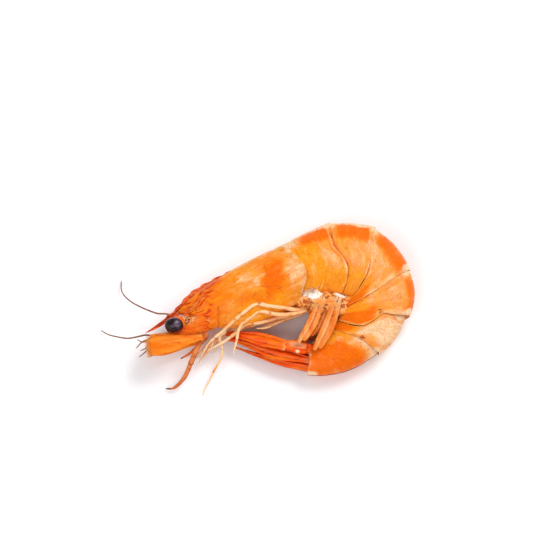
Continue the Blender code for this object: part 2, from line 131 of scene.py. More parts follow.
ROOM_COLOUR = (1.0, 0.99, 1.0, 1.0)
ROOM_LIGHT = 0.52
lamp("key", 0.30, 2.2, (0.30, 0.34, 0.52))
lamp("front_fill", 0.5, 1.5, (-0.25, -0.40, 0.45))
room = bpy.data.worlds.new("room")
bpy.context.scene.world = room
room.use_nodes = True
room.node_tree.nodes["Background"].inputs["Color"].default_value = ROOM_COLOUR
room.node_tree.nodes["Background"].inputs["Strength"].default_value = ROOM_LIGHT
print("lamps", len(bpy.data.lights))

# %% [markdown]
# ## Mixing the colours
# A material is a small tree of nodes. These helpers make the steps that come back in every finish:
# a place to read the pattern from, a noise, a ramp that sharpens it, and a mix of two colours. With
# them a finish reads like a list of washes, laid one over the other.

# %% A bare finish
SPECULAR = 0.12
COAT_ROUGHNESS = 0.22


def new_finish(name, roughness, coat=0.0, soft=0.0, soft_radius=(1.2, 0.5, 0.2)):
    """A material whose shader already has its plain values; returns it with its tree."""
    material = bpy.data.materials.new(name)
    material.use_nodes = True
    tree = material.node_tree
    shader = tree.nodes["Principled BSDF"]
    shader.inputs["Roughness"].default_value = roughness
    shader.inputs["Specular IOR Level"].default_value = SPECULAR
    shader.inputs["Coat Weight"].default_value = coat
    shader.inputs["Coat Roughness"].default_value = COAT_ROUGHNESS
    shader.inputs["Subsurface Weight"].default_value = soft
    shader.inputs["Subsurface Scale"].default_value = MM
    shader.inputs["Subsurface Radius"].default_value = soft_radius
    return material, tree, shader


def link(tree, source, target):
    tree.links.new(source, target)


print("specular", SPECULAR, "coat roughness", COAT_ROUGHNESS)


# %% Sums, ramps and mixes
COLOUR_SOCKETS = (6, 7)      # where a mix node takes its two colours
MIXED_SOCKET = 2             # and where it gives out the mixed one


def sums(tree, operation, first, second):
    """One sum of two values; each may be a number or the outcome of another node."""
    node = tree.nodes.new("ShaderNodeMath")
    node.operation = operation
    for socket, value in zip(node.inputs, (first, second)):
        if isinstance(value, float):
            socket.default_value = value
        else:
            link(tree, value, socket)
    return node.outputs["Value"]


def plus(tree, first, second):
    return sums(tree, "ADD", first, second)


def times(tree, first, second):
    return sums(tree, "MULTIPLY", first, second)


def away_from(tree, value, middle):
    """How far a value lies from the middle one, on either side."""
    return sums(tree, "ABSOLUTE", sums(tree, "SUBTRACT", value, middle), 0.0)


def ramp(tree, source, low, high, bottom=0.0, top=1.0):
    """Stretches the values between low and high over the whole range."""
    node = tree.nodes.new("ShaderNodeMapRange")
    node.interpolation_type = "SMOOTHSTEP"
    node.inputs["From Min"].default_value = low
    node.inputs["From Max"].default_value = high
    node.inputs["To Min"].default_value = bottom
    node.inputs["To Max"].default_value = top
    link(tree, source, node.inputs["Value"])
    return node.outputs["Result"]


def blend(tree, share, first, second):
    """Mixes two colours; each may be a colour or the outcome of an earlier mix."""
    node = tree.nodes.new("ShaderNodeMix")
    node.data_type = "RGBA"
    link(tree, share, node.inputs["Factor"])
    for place, value in zip(COLOUR_SOCKETS, (first, second)):
        if isinstance(value, tuple):
            node.inputs[place].default_value = (*value, 1.0)
        else:
            link(tree, value, node.inputs[place])
    return node.outputs[MIXED_SOCKET]


def wash(tree, colour, over, source, low, high, most=1.0):
    """Lays a colour over another: none of it where source is low, the share most where it is high."""
    return blend(tree, ramp(tree, source, low, high, 0.0, most), colour, over)


print("sums and mixes ready")


# %% Places and patterns
DOT_CORE = 0.6               # the share of a dot that is full, inside its soft rim


def place_on_piece(tree, stretch=(1.0, 1.0, 1.0)):
    """The point on the piece, in millimetres."""
    where = tree.nodes.new("ShaderNodeTexCoord")
    scale = tree.nodes.new("ShaderNodeMapping")
    scale.inputs["Scale"].default_value = [s / MM for s in stretch]
    link(tree, where.outputs["Object"], scale.inputs["Vector"])
    return scale.outputs["Vector"]


def painted(tree, name):
    """The strength of a colour that was painted on the piece's points."""
    node = tree.nodes.new("ShaderNodeAttribute")
    node.attribute_name = name
    return node.outputs["Fac"]


def place_on_plate(tree, along, level):
    """A place that follows the plate: how far along it and how far down from its back."""
    place = tree.nodes.new("ShaderNodeCombineXYZ")
    for socket, name, scale in ((0, "along", along), (1, "level", level)):
        link(tree, times(tree, painted(tree, name), scale), place.inputs[socket])
    return place.outputs["Vector"]


def noise_at(tree, where, scale, detail, warp=0.0):
    node = tree.nodes.new("ShaderNodeTexNoise")
    node.inputs["Scale"].default_value = scale
    node.inputs["Detail"].default_value = detail
    node.inputs["Distortion"].default_value = warp
    link(tree, where, node.inputs["Vector"])
    return node.outputs["Fac"]


def veins_at(tree, where, scale, warp, width):
    """Thin wandering lines: the places where a noise crosses its middle value."""
    value = noise_at(tree, where, scale, 2.0, warp)
    return ramp(tree, away_from(tree, value, 0.5), 0.0, width, 1.0, 0.0)


def dots_at(tree, where, scale, size):
    """Round dots, one for each cell of a Voronoi pattern, with a soft rim."""
    cells = tree.nodes.new("ShaderNodeTexVoronoi")
    cells.feature = "F1"
    cells.inputs["Scale"].default_value = scale
    link(tree, where, cells.inputs["Vector"])
    return ramp(tree, cells.outputs["Distance"], size * DOT_CORE, size, 1.0, 0.0)


def raise_surface(tree, shader, height, strength, depth):
    node = tree.nodes.new("ShaderNodeBump")
    node.inputs["Strength"].default_value = strength
    node.inputs["Distance"].default_value = depth * MM
    link(tree, height, node.inputs["Height"])
    link(tree, node.outputs["Normal"], shader.inputs["Normal"])


print("patterns ready")

# %% [markdown]
# ## The cooked shell
# Heat turns the shell from grey to orange. It is strongest in saddles along the back, runs to peach
# and pink on the flanks, where the flesh shows through, and to gold towards the belly. The saddles
# and the pale places are painted on each plate's points later, because they lie where they lie on
# the real animal; this finish only breaks up their edges with noise and adds veins and freckles.

# %% Colours of the shell
AMBER = (0.85, 0.258, 0.014)
PEACH = (0.83, 0.330, 0.070)
PINK = (0.84, 0.41, 0.17)
ORANGE = (0.83, 0.168, 0.0)
GOLD = (0.88, 0.330, 0.008)
YELLOW = (0.87, 0.42, 0.020)
CREAM = (0.86, 0.65, 0.41)
RED = (0.60, 0.045, 0.006)
BROWN = (0.20, 0.028, 0.006)
GRAIN = (0.82, 0.16, 0.010)
DARK_STROKE = (0.52, 0.11, 0.02)
CRACK = (0.45, 0.09, 0.02)
FRECKLE = (0.40, 0.05, 0.012)
print("amber", AMBER, "orange", ORANGE)


# %% Shell finish
def shell_fields(tree, colour, where, orange, ragged):
    """The broad painted fields: a gold halo round the saddles, the saddles, and the pale places."""
    halo = plus(tree, painted(tree, "gold"), times(tree, orange, 0.9))
    colour = wash(tree, colour, GOLD, plus(tree, halo, ragged), 0.0, 0.95, 0.92)
    mottle = noise_at(tree, where, 0.32, 4.0, 1.0)
    colour = wash(tree, colour, YELLOW, mottle, 0.50, 0.66, 0.38)
    core = plus(tree, orange, times(tree, ragged, 0.8))
    colour = wash(tree, colour, ORANGE, core, 0.20, 1.05)
    return wash(tree, colour, CREAM, plus(tree, painted(tree, "cream"), ragged), 0.05, 1.0, 0.9)


def shell_strokes(tree, colour, where, orange, middle, fine, strokes):
    """Light and dark strokes along the plate, a fine grain, and a few wandering cracks."""
    bare = ramp(tree, orange, 0.1, 0.7, 1.0, 0.25)
    light = times(tree, ramp(tree, strokes, 0.54, 0.68, 0.0, 0.30), bare)
    colour = blend(tree, light, colour, CREAM)
    colour = wash(tree, colour, GRAIN, fine, 0.50, 0.70, 0.6)
    dark = times(tree, ramp(tree, away_from(tree, strokes, 0.47), 0.0, 0.018, 1.0, 0.0),
                 ramp(tree, middle, 0.38, 0.50, 0.0, 0.62))
    colour = blend(tree, dark, colour, DARK_STROKE)
    cracks = times(tree, veins_at(tree, where, 0.20, 1.2, 0.010), ramp(tree, fine, 0.4, 0.6, 0.0, 0.4))
    return blend(tree, cracks, colour, CRACK)


def shell_marks(tree, colour, where, ragged):
    """The painted freckles, red edges, brown marks and the brown painted shade of creases, which lie
    over everything else.
    """
    freckles = times(tree, dots_at(tree, where, 1.5, 0.22), painted(tree, "freckles"))
    colour = blend(tree, freckles, colour, FRECKLE)
    red = plus(tree, painted(tree, "red"), times(tree, ragged, 0.7))
    colour = wash(tree, colour, RED, red, 0.25, 0.8)
    return wash(tree, colour, BROWN, painted(tree, "mark_and_shade"), 0.15, 0.8)


def shell_finish(name, plain, strokes_along, strokes_down):
    """plain: the two colours of the shell where nothing is painted; strokes: how fine they are."""
    material, tree, shader = new_finish(name, 0.36, coat=0.07, soft=0.30)
    where = place_on_piece(tree)
    broad = noise_at(tree, where, 0.18, 3.0, 0.6)
    middle = noise_at(tree, where, 0.55, 4.0, 0.5)
    fine = noise_at(tree, where, 2.4, 4.0, 0.3)
    strokes = noise_at(tree, place_on_plate(tree, strokes_along, strokes_down), 1.0, 5.0, 0.9)
    ragged = plus(tree, times(tree, middle, 0.6), times(tree, strokes, 0.9))
    ragged = sums(tree, "SUBTRACT", ragged, 0.75)
    orange = painted(tree, "orange")
    colour = blend(tree, ramp(tree, broad, 0.40, 0.62), *plain)
    colour = shell_fields(tree, colour, where, orange, ragged)
    colour = shell_strokes(tree, colour, where, orange, middle, fine, strokes)
    colour = shell_marks(tree, colour, where, ragged)
    link(tree, colour, shader.inputs["Base Color"])
    link(tree, ramp(tree, middle, 0.3, 0.7, 0.28, 0.44), shader.inputs["Roughness"])
    height = plus(tree, times(tree, fine, 0.5), times(tree, strokes, 0.7))
    raise_surface(tree, shader, height, 0.30, 0.15)
    return material


SHELL = shell_finish("cooked_shell", (PEACH, PINK), 9.0, 5.0)
THORAX = shell_finish("thorax_shell", (AMBER, PEACH), 7.0, 14.0)
print("finishes", SHELL.name, THORAX.name)

# %% [markdown]
# ## Lines and skins
# Nearly every piece of a shrimp is a skin round a line: a leg, a feeler, a plate of the shell. A
# cylinder is such a skin already. Its side is cut into rings in edit mode, and each ring is then
# laid in its place along the line by a formula, because no transform can follow two unlike borders.

# %% Shares
def mix(a, b, share):
    return a + (b - a) * share


def unit(value):
    """The value, kept between 0 and 1."""
    return min(max(value, 0.0), 1.0)


def ease(share):
    share = unit(share)
    return share * share * (3.0 - 2.0 * share)


def bell(value, middle, width):
    """1 at the middle, falling away smoothly to both sides."""
    return math.exp(-((value - middle) / width) ** 2)


def band(value, start, end, soft):
    """1 between start and end, easing to 0 over the soft edge on each side."""
    return ease((value - start) / soft + 0.5) * ease((end - value) / soft + 0.5)


def value_between(values, share):
    """A value read off a short list as share runs from 0 to 1 along it."""
    spot = unit(share) * (len(values) - 1)
    lower = min(int(spot), len(values) - 2)
    return mix(values[lower], values[lower + 1], spot - lower)


print("half of a list", value_between((0.0, 1.0, 4.0), 0.5))


# %% Lines
def spline(points, share):
    """A point on the smooth curve through the given points; share runs from 0 to 1 along it."""
    knots = [Vector(point) for point in points]
    reach = [0.0]
    for before, after in zip(knots, knots[1:]):
        reach.append(reach[-1] + (after - before).length)
    wanted = unit(share) * reach[-1]
    span = 0
    while span < len(knots) - 2 and reach[span + 1] < wanted:
        span += 1
    start, end = knots[span], knots[span + 1]
    length = reach[span + 1] - reach[span]
    before = knots[span - 1] if span > 0 else start * 2.0 - end
    after = knots[span + 2] if span + 2 < len(knots) else end * 2.0 - start
    before_length = max((start - before).length, 0.001)
    after_length = max((after - end).length, 0.001)
    leave = ((start - before) / before_length + (end - start) / length).normalized() * length
    arrive = ((end - start) / length + (after - end) / after_length).normalized() * length
    t = (wanted - reach[span]) / length
    return ((2 * t ** 3 - 3 * t ** 2 + 1) * start + (t ** 3 - 2 * t ** 2 + t) * leave
            + (-2 * t ** 3 + 3 * t ** 2) * end + (t ** 3 - t ** 2) * arrive)


def heading(points, share, step=0.02):
    """The way that the curve goes at share, as the step between two points near it."""
    return spline(points, share + step) - spline(points, share - step)


def border(points, gap=0.0, start=0.0, end=1.0):
    """A border as a function of 0 to 1, moved by gap towards the tail and shortened at its ends."""
    def at(share):
        place = mix(start, end, share)
        along = heading(points, place, 0.01).normalized()
        return spline(points, place) + Vector((-along.y, along.x)) * gap
    return at


print("middle of a straight line", spline([(0.0, 0.0), (2.0, 0.0)], 0.5))


# %% Skins
def only(piece):
    bpy.ops.object.select_all(action="DESELECT")
    piece.select_set(True)
    bpy.context.view_layer.objects.active = piece


def cut_into_rings(piece, cuts):
    """Cuts the upright edges of a cylinder or a cone, so that its side falls into rings."""
    bpy.ops.object.mode_set(mode="EDIT")
    bpy.ops.mesh.select_mode(type="EDGE")
    bpy.ops.mesh.select_all(action="DESELECT")
    bpy.ops.object.mode_set(mode="OBJECT")
    for edge in piece.data.edges:
        low, high = (piece.data.vertices[end].co for end in edge.vertices)
        edge.select = abs(low.z - high.z) > 0.5
    bpy.ops.object.mode_set(mode="EDIT")
    bpy.ops.mesh.subdivide(number_cuts=cuts)
    bpy.ops.object.mode_set(mode="OBJECT")


def skin(name, rings, around, lay):
    """A closed skin: a cylinder cut into rings, each point laid by lay(ring, turn).

    lay returns the point on the board, how far along the piece it is and its level.
    """
    bpy.ops.object.select_all(action="DESELECT")
    bpy.ops.mesh.primitive_cylinder_add(vertices=around, radius=1.0, depth=1.0)
    piece = bpy.context.object
    piece.name = name
    piece.data.name = name
    cut_into_rings(piece, rings - 2)
    shares, levels = [], []
    for point in piece.data.vertices:
        ring = round((point.co.z + 0.5) * (rings - 1))
        turn = round(math.atan2(point.co.x, point.co.y) / (2.0 * math.pi) * around) % around
        spot, share, level = lay(ring, turn)
        point.co = to_frame(spot)
        shares.append(share)
        levels.append(level)
    write(piece, "along", shares)
    write(piece, "level", levels)
    only(piece)
    bpy.ops.object.mode_set(mode="EDIT")
    bpy.ops.mesh.select_all(action="SELECT")
    bpy.ops.mesh.normals_make_consistent(inside=False)
    bpy.ops.object.mode_set(mode="OBJECT")
    return piece


def rounded(piece):
    only(piece)
    smooth = piece.modifiers.new("round", "SUBSURF")
    smooth.levels = smooth.render_levels = 1
    bpy.ops.object.modifier_apply(modifier=smooth.name)
    bpy.ops.object.shade_smooth()


print("skins ready")


# %% Marks on the points
def read(piece, key):
    """What an attribute holds at each point."""
    values = [0.0] * len(piece.data.vertices)
    piece.data.attributes[key].data.foreach_get("value", values)
    return values


def write(piece, key, values):
    held = piece.data.attributes.get(key) or piece.data.attributes.new(key, "FLOAT", "POINT")
    held.data.foreach_set("value", values)


def stain(piece, key, strength):
    """Writes strength(along, level) at each point."""
    marks = zip(read(piece, "along"), read(piece, "level"))
    write(piece, key, [strength(along, level) for along, level in marks])


def relief(piece, height):
    """Moves each point along its normal by height(place on the board, marks), in millimetres."""
    marks = zip(read(piece, "along"), read(piece, "level"))
    normals = [point.normal.copy() for point in piece.data.vertices]
    for point, normal, (along, level) in zip(piece.data.vertices, normals, marks):
        spot = to_board(point.co)
        spot += normal * height(spot, along, level)
        spot.z = max(spot.z, 0.0)
        point.co = to_frame(spot)


def dress(piece, material, slot, *nodes):
    """Gives a piece its finish, sets it on the body and lets it stand for its solids."""
    piece.data.materials.clear()
    piece.data.materials.append(material)
    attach(piece, "root")
    if nodes:
        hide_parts(*nodes)


print("marks ready")

# %% [markdown]
# ## The borders between the plates
# These are the lines where one plate ends over the next, drawn on the middle plane from the back
# down to the belly. They are the same lines that the solids were drawn from.

# %% Borders
FRONT_EDGE = [(-56.6, -3.1), (-53.0, -4.9), (-49.3, -6.1), (-47.2, -8.6), (-45.4, -10.9)]
HIND_EDGE = [(-22.3, 18.2), (-16.9, 13.7), (-13.1, 7.2), (-14.2, 1.6), (-16.2, -2.6)]
BORDER_1 = [(-5.2, 26.8), (-3.6, 17.5), (0.9, 9.3), (-0.4, 2.6), (-3.0, -1.6)]
BORDER_2 = [(10.4, 25.2), (8.0, 16.0), (7.8, 9.0), (4.6, 3.2), (-0.7, -1.9)]
BORDER_3 = [(21.8, 10.4), (15.3, 5.4), (9.0, 0.8), (-2.4, -4.4)]
BORDER_4 = [(21.6, -5.3), (16.8, -6.0), (12.4, -5.8), (8.8, -8.6), (5.2, -10.0), (-4.0, -6.8)]
BORDER_5 = [(11.9, -18.2), (8.4, -16.4), (5.4, -14.3), (0.6, -12.2), (-6.2, -9.2)]
TAIL_EDGE = [(-12.6, -24.7), (-12.1, -19.8), (-12.7, -15.0)]
CARAPACE_BACK = [(-56.2, -4.2), (-51.0, 1.2), (-43.9, 6.5), (-33.4, 12.8), (-22.3, 18.2)]
print("the shield from end to end", round(math.dist(CARAPACE_BACK[0], CARAPACE_BACK[-1]), 1), "mm")

# %% [markdown]
# ## One plate of the shell
# A plate is a hoop of thin shell round the flesh. Its front end slips under the plate before it and
# its rear end is a thin lip that lies over the next one, so the rows run from the hidden front, over
# the outside, round the lip and back inside. At the belly the hoop is open on the real animal, so
# the skin sinks in between the two side flaps.

# %% A hoop between two borders
NARROWING_FROM = 0.57        # the level from which a plate grows narrower towards the belly
FLANK_POWER = 0.92           # under 1 the flanks are fuller than a round hoop
NEARBY = 0.01                # the step that measures which way a plate runs


def level_at(turn, around):
    """How far down from the back a point of the hoop lies: 0 at the back, 1 at the belly."""
    return (1.0 - math.cos(2.0 * math.pi * turn / around)) / 2.0


def hoop(front, rear, back_line, half_at, height_at, narrowing, around):
    """A plate as a function of share along it, the step round it and the lift off its surface."""
    turns = [2.0 * math.pi * step / around for step in range(around)]
    levels = [level_at(step, around) for step in range(around)]
    ends = [(front(level), rear(level)) for level in levels]

    def at(share, step):
        step = step % around
        level = levels[step]
        sweep = math.sin(turns[step])
        place = mix(*ends[step], share) + back_line(share) * (1.0 - level)
        full = 1.0 - narrowing * ease((level - NARROWING_FROM) / (1.0 - NARROWING_FROM))
        side = math.copysign(abs(sweep) ** FLANK_POWER, sweep) * full
        return Vector((place.x, place.y, height_at(share) + side * half_at(share)))

    def lifted(share, step, lift):
        along = at(share + NEARBY, step) - at(share - NEARBY, step)
        across = at(share, step + 1) - at(share, step - 1)
        out = across.cross(along).normalized()
        if out.dot(at(share, step) - at(share, step + around // 2)) < 0.0:
            out.negate()
        spot = at(share, step) + out * lift
        spot.z = max(spot.z, 0.0)
        return spot, share, levels[step]
    return lifted


def arched(front, rear, rise):
    """How far the back stands out over the straight line between a plate's two ends."""
    chord = rear(0.0) - front(0.0)
    out = Vector((-chord.y, chord.x)).normalized()
    return lambda share: out * (rise * 4.0 * share * (1.0 - share))


print("level of the flank", level_at(1, 4))

# %% The rows of a plate
# Each row: the share along the plate, and its lift in millimetres.
FRONT_TUCK = [(-0.085, -1.6), (-0.085, -0.9), (-0.08, -0.45)]
FRONT_LIP = [(0.10, -1.6), (0.07, -0.8), (0.03, -0.45), (0.006, -0.30), (0.0, -0.12)]
REAR_LIP = [(1.0, 0.03), (1.004, -0.05), (1.003, -0.15), (0.99, -0.24), (0.95, -0.30),
            (0.92, -0.8), (0.92, -1.6)]
TUCK_DEPTH = 0.13            # the dip of a front end that slips under the plate before it
BAND_RISE = 0.05             # the raised band at the rear
BAND_GROOVE = 0.07           # and the groove at its front
BELLY_DIP = 1.5              # how far the skin sinks in between the side flaps
FLAP_EDGE = 0.945            # the level at which the side flaps end


def outside_rows(count, first, last, tucked, banded=0.90):
    """Share and lift of the rows over the outside: a dip to the tucked front, a band at the rear."""
    rows = []
    for step in range(count):
        share = mix(first, last, step / (count - 1))
        lift = -TUCK_DEPTH * (1.0 - ease((share + 0.05) / 0.06)) if tucked else 0.0
        lift += BAND_RISE * ease((share - banded) / 0.03)
        lift -= BAND_GROOVE * bell(share, banded, 0.012)
        rows.append((share, lift))
    return rows


def shell_plate(name, front, rear, back_line, half_at, height_at, rows, around, narrowing):
    lay_on = hoop(front, rear, back_line, half_at, height_at, narrowing, around)

    def lay(ring, turn):
        share, lift = rows[ring]
        between_flaps = ease((level_at(turn, around) - FLAP_EDGE) / 0.05)
        return lay_on(share, turn, lift - BELLY_DIP * between_flaps)
    piece = skin(name, len(rows), around, lay)
    rounded(piece)
    return piece


print("rows in a lip", len(REAR_LIP))

# %% [markdown]
# ## Painting on the points
# A soft oval of colour is the brush. It is given by its middle and its two reaches, either on the
# plate's own measure (how far along, how far down from the back) or on the board. Paint on points
# follows the shape and needs no picture, and the noise of the finish hides how coarse it is.

# %% The brush
PAINTS = ("orange", "gold", "cream", "red", "freckles", "mark_and_shade")
DRIFT_SIZE = 4.5             # the paint drifts in patches of this size, in millimetres,
DRIFT_ALONG = 0.09           # by these shares along and down the plate
DRIFT_DOWN = 0.05
DRIFT_ON_BOARD = 2.0         # and by this far on the board


def oval(spot, middle, reach, tilt=0.0, soft=0.75):
    """1 inside an oval, easing to 0 at its edge."""
    dx, dy = spot[0] - middle[0], spot[1] - middle[1]
    cosine, sine = math.cos(tilt), math.sin(tilt)
    far = math.hypot((dx * cosine + dy * sine) / reach[0], (dy * cosine - dx * sine) / reach[1])
    return 1.0 - ease((far - 1.0 + soft) / soft)


def paint(piece, washes):
    """Writes one attribute for each wash, a function of place, share and level that drift a little."""
    places = [to_board(point.co) for point in piece.data.vertices]
    drift = [(noise.noise(spot / DRIFT_SIZE), noise.noise(spot / DRIFT_SIZE + Vector((9.0, 5.0, 2.0))))
             for spot in places]
    shares = [share + DRIFT_ALONG * d[0] for share, d in zip(read(piece, "along"), drift)]
    levels = [level + DRIFT_DOWN * d[1] for level, d in zip(read(piece, "level"), drift)]
    places = [spot + Vector((DRIFT_ON_BOARD * d[0], DRIFT_ON_BOARD * d[1], 0.0))
              for spot, d in zip(places, drift)]
    for key in PAINTS:
        strength = washes.get(key, lambda spot, share, level: 0.0)
        write(piece, key, [strength(*spot) for spot in zip(places, shares, levels)])


def ripple(spot, size):
    """Smooth unevenness between about -1 and 1, size in millimetres."""
    return noise.noise(spot / size)


print("paints", len(PAINTS))


# %% Lines on the board
def along_line(spot, start, end):
    """Distance from a line on the board, and how far along it (0 to 1) the nearest point is."""
    line = Vector(end) - Vector(start)
    gone = (Vector((spot[0], spot[1])) - Vector(start)).dot(line) / line.length_squared
    near = Vector(start) + line * unit(gone)
    return (Vector((spot[0], spot[1])) - near).length, gone


def furrow(spot, start, end, width, depth):
    """A groove (or with a negative depth a ridge) along a line, fading out at its ends."""
    far, gone = along_line(spot, start, end)
    fade = ease(gone / 0.2) * ease((1.0 - gone) / 0.25)
    return -depth * fade * bell(far, 0.0, width)


def streaks(spot, size=1.0):
    """Long thin strokes that follow the slope of the head."""
    slope = Vector((0.86, 0.50))
    flat = Vector((spot.x, spot.y))
    turned = Vector((flat.dot(slope) * 0.6, (spot.y * slope.x - spot.x * slope.y) * 3.6, spot.z))
    return 0.5 + 0.5 * noise.noise(turned / (2.4 * size))


print("lines on the board ready")

# %% [markdown]
# ## The shield of the thorax
# The carapace is one plate with a lip at both ends. Behind the eye runs a deep groove with a ridge
# over it, a crease stands at the cheek, and the cover of the gills swells out towards the rear. The
# grooves are pressed into the finished skin, because they cross its rows at a slant.

# %% Carapace shape
CARAPACE_HALF = 9.05
FRONT_HALF = 4.7
THORAX_NARROWING = 0.42
CARAPACE_AROUND = 104
CARAPACE_ROWS = 60
BELLY_WAY = Vector((0.273, -0.962, 0.0))    # square to the lower edge, away from the back
BELLY_SWELL = 2.5
SNOUT_PINCH = 0.80
CHEEK_CREASE = ((-42.2, -3.5), (-42.0, -9.8))
# Each furrow: its start and end on the board, its width and its depth (a ridge where negative).
FURROWS = (
    ((-55.5, -6.8), (-44.5, -2.6), 0.8, 0.55),      # the groove behind the eye
    ((-54.5, -4.8), (-40.0, 3.2), 0.8, -0.35),      # the ridge over it
    ((-47.0, -3.4), (-36.0, 6.5), 1.1, 0.35),       # the neck groove, up towards the back
    (*CHEEK_CREASE, 0.45, 0.28),
    ((-36.5, -3.0), (-18.5, 0.2), 1.4, 0.16),       # along the cover of the gills
    ((-48.5, 4.8), (-26.0, 15.2), 0.7, 0.2),        # beside the crest of the back
)


def carapace_height(spot, share, level):
    lift = sum(furrow(spot, *measures) for measures in FURROWS)
    return lift + (0.10 * ripple(spot, 4.5) + 0.045 * ripple(spot, 1.3))


def carapace():
    front, rear = border(FRONT_EDGE), border(HIND_EDGE)

    def back_line(share):
        inner = unit(share)
        return spline(CARAPACE_BACK, inner) - mix(front(0.0), rear(0.0), inner)

    def half_at(share):
        return mix(FRONT_HALF, CARAPACE_HALF, ease(share / 0.62) ** 0.8)

    rows = FRONT_LIP + outside_rows(CARAPACE_ROWS, 0.012, 0.985, False, 0.945) + REAR_LIP
    piece = shell_plate("carapace_shell", front, rear, back_line, half_at, lambda share: MIDDLE,
                        rows, CARAPACE_AROUND, THORAX_NARROWING)
    for point, share, level in zip(piece.data.vertices, read(piece, "along"), read(piece, "level")):
        spot = to_board(point.co)
        pinch = SNOUT_PINCH * ease((0.26 - share) / 0.26) * ease((0.36 - level) / 0.22)
        spot.z = mix(spot.z, MIDDLE, pinch)
        swell = math.sin(math.pi * unit((share - 0.12) / 0.88)) ** 0.8
        spot += BELLY_WAY * (BELLY_SWELL * swell * ease((level - 0.5) / 0.5))
        point.co = to_frame(spot)
    relief(piece, carapace_height)
    return piece


carapace_shell = carapace()
print("carapace points", len(carapace_shell.data.vertices))

# %% [markdown]
# Its colours: a strong orange field on the gill cover, a pale peach lobe behind it, gold along the
# lower edge, freckles along the back, a pale band of painted highlight along the rear of the back
# and a small one on the cheek, and red streaks that sweep back from the eye. Each place is an oval
# with a name of its own, so one can be moved without touching the others.

# %% Carapace colours
# Each oval of colour on the board: its middle, its two reaches and, if given, its tilt and softness.
SHIELD_OVALS = {
    "gill cover": ((-24.2, 6.0), (5.0, 11.5), -0.12, 0.7),
    "front of the gill cover": ((-27.2, 7.5), (1.1, 6.5), -0.12),
    "lower flank": ((-31.0, -2.0), (12.0, 4.5), 0.25),
    "golden lower edge": ((-26.5, -4.0), (14.0, 7.0), 0.25),
    "golden back": ((-35.5, 8.0), (9.0, 5.0), 0.5),
    "pale lobe": ((-16.6, 8.2), (4.6, 7.2)),
    "pale patch": ((-33.0, 6.0), (5.0, 3.6), 0.5),
    "pale stroke": ((-29.6, 4.2), (2.4, 3.4), -0.2),
    # A small painted highlight on the cheek.
    "cheek": ((-45.4, -6.8), (1.4, 1.1)),
    "red ridge": ((-46.0, 4.0), (9.0, 1.4), 0.6),
    "socket strokes": ((-50.5, -5.4), (4.6, 1.5), 0.4),
    "socket freckles": ((-50.5, -5.0), (4.2, 1.6), 0.4),
}


def shield(spot, name):
    return oval(spot, *SHIELD_OVALS[name])


def carapace_orange(spot, share, level):
    field = shield(spot, "gill cover") + 0.40 * shield(spot, "front of the gill cover")
    head = ease((-32.0 - spot.x) / 13.0) * (0.25 + 1.05 * streaks(spot))
    return max(field, 0.7 * shield(spot, "lower flank"), 0.95 * head)


def carapace_gold(spot, share, level):
    return max(0.95 * shield(spot, "golden lower edge"), 0.55 * shield(spot, "golden back"))


def carapace_cream_and_highlight(spot, share, level):
    # Painted highlight: a pale band along the rear of the back.
    back = 0.55 * ease((0.085 - level) / 0.06) * ease((spot.x + 44.0) / 12.0)
    lower = 0.30 * ease((level - 0.93) / 0.05)
    patch = 0.50 * shield(spot, "pale patch") * (0.3 + streaks(spot, 0.8))
    rim = 0.45 * ease((share - 0.965) / 0.02)
    # The cheek oval is a painted highlight; the other pale ovals are the shell's own pale places.
    return max(0.62 * shield(spot, "pale lobe"), back, lower, patch,
               0.62 * shield(spot, "pale stroke"), rim, 0.6 * shield(spot, "cheek"))


def carapace_red(spot, share, level):
    head = ease((-38.0 - spot.x) / 9.0) * ease((streaks(spot, 0.7) - 0.42) / 0.25)
    edge = 0.5 * ease((0.03 - share) / 0.02)
    return max(0.80 * head, 0.55 * shield(spot, "red ridge"), edge)


def carapace_mark_and_crease_shade(spot, share, level):
    """Short brown strokes in the socket of the eye, and painted shade along the crease of the cheek."""
    strokes = ease((streaks(spot, 0.35) - 0.56) / 0.1)
    crease_shade = 0.5 * bell(along_line(spot, *CHEEK_CREASE)[0], 0.0, 0.3)
    return max(0.9 * (shield(spot, "socket strokes") * strokes), crease_shade)


def carapace_freckles(spot, share, level):
    back = ease((0.30 - level) / 0.15) * ease((level - 0.04) / 0.06) * ease((spot.x + 52.0) / 8.0)
    return max(0.5 * back, shield(spot, "socket freckles"))


paint(carapace_shell, {"orange": carapace_orange, "gold": carapace_gold, "cream": carapace_cream_and_highlight,
                       "red": carapace_red, "mark_and_shade": carapace_mark_and_crease_shade,
                       "freckles": carapace_freckles})
dress(carapace_shell, THORAX, "cooked_shell", "carapace")
print("painted", carapace_shell.name)

# %% [markdown]
# ## The six joints of the tail
# Each joint is drawn between two borders, like its solid, and gets a saddle of strong orange near
# the back, its own paler or more golden places on the flank, and on the first two a pale band of
# painted highlight along the back itself.
# All six come from one function, because they differ only in their measures.

# %% Tail joint shape
SOMITE_AROUND = 88
SOMITE_ROWS = 34
SOMITE_SWELL = 0.25
SOMITE_NARROWING = 0.20
SHELL_GAP = 0.35             # between a border and the plate behind it


def joint_height(spot, share, level):
    flutes = 0.05 * math.sin(22.0 * level + 3.0 * ripple(spot, 5.0)) * ease((share - 0.6) / 0.4)
    hollow = -0.16 * bell(share, 0.16, 0.05)
    return hollow + flutes + 0.09 * ripple(spot, 3.8) + 0.04 * ripple(spot, 1.2)


def tail_joint(number, front, rear, halves, heights, arch):
    def half_at(share):
        inner = unit(share)
        return mix(*halves, inner) + SOMITE_SWELL * math.sin(math.pi * inner)

    def height_at(share):
        return mix(*heights, unit(share))

    rows = FRONT_TUCK + outside_rows(SOMITE_ROWS, -0.07, 0.985, True) + REAR_LIP
    piece = shell_plate(f"tail_joint_{number}", front, rear, arched(front, rear, arch),
                        half_at, height_at, rows, SOMITE_AROUND, SOMITE_NARROWING)
    relief(piece, joint_height)
    return piece


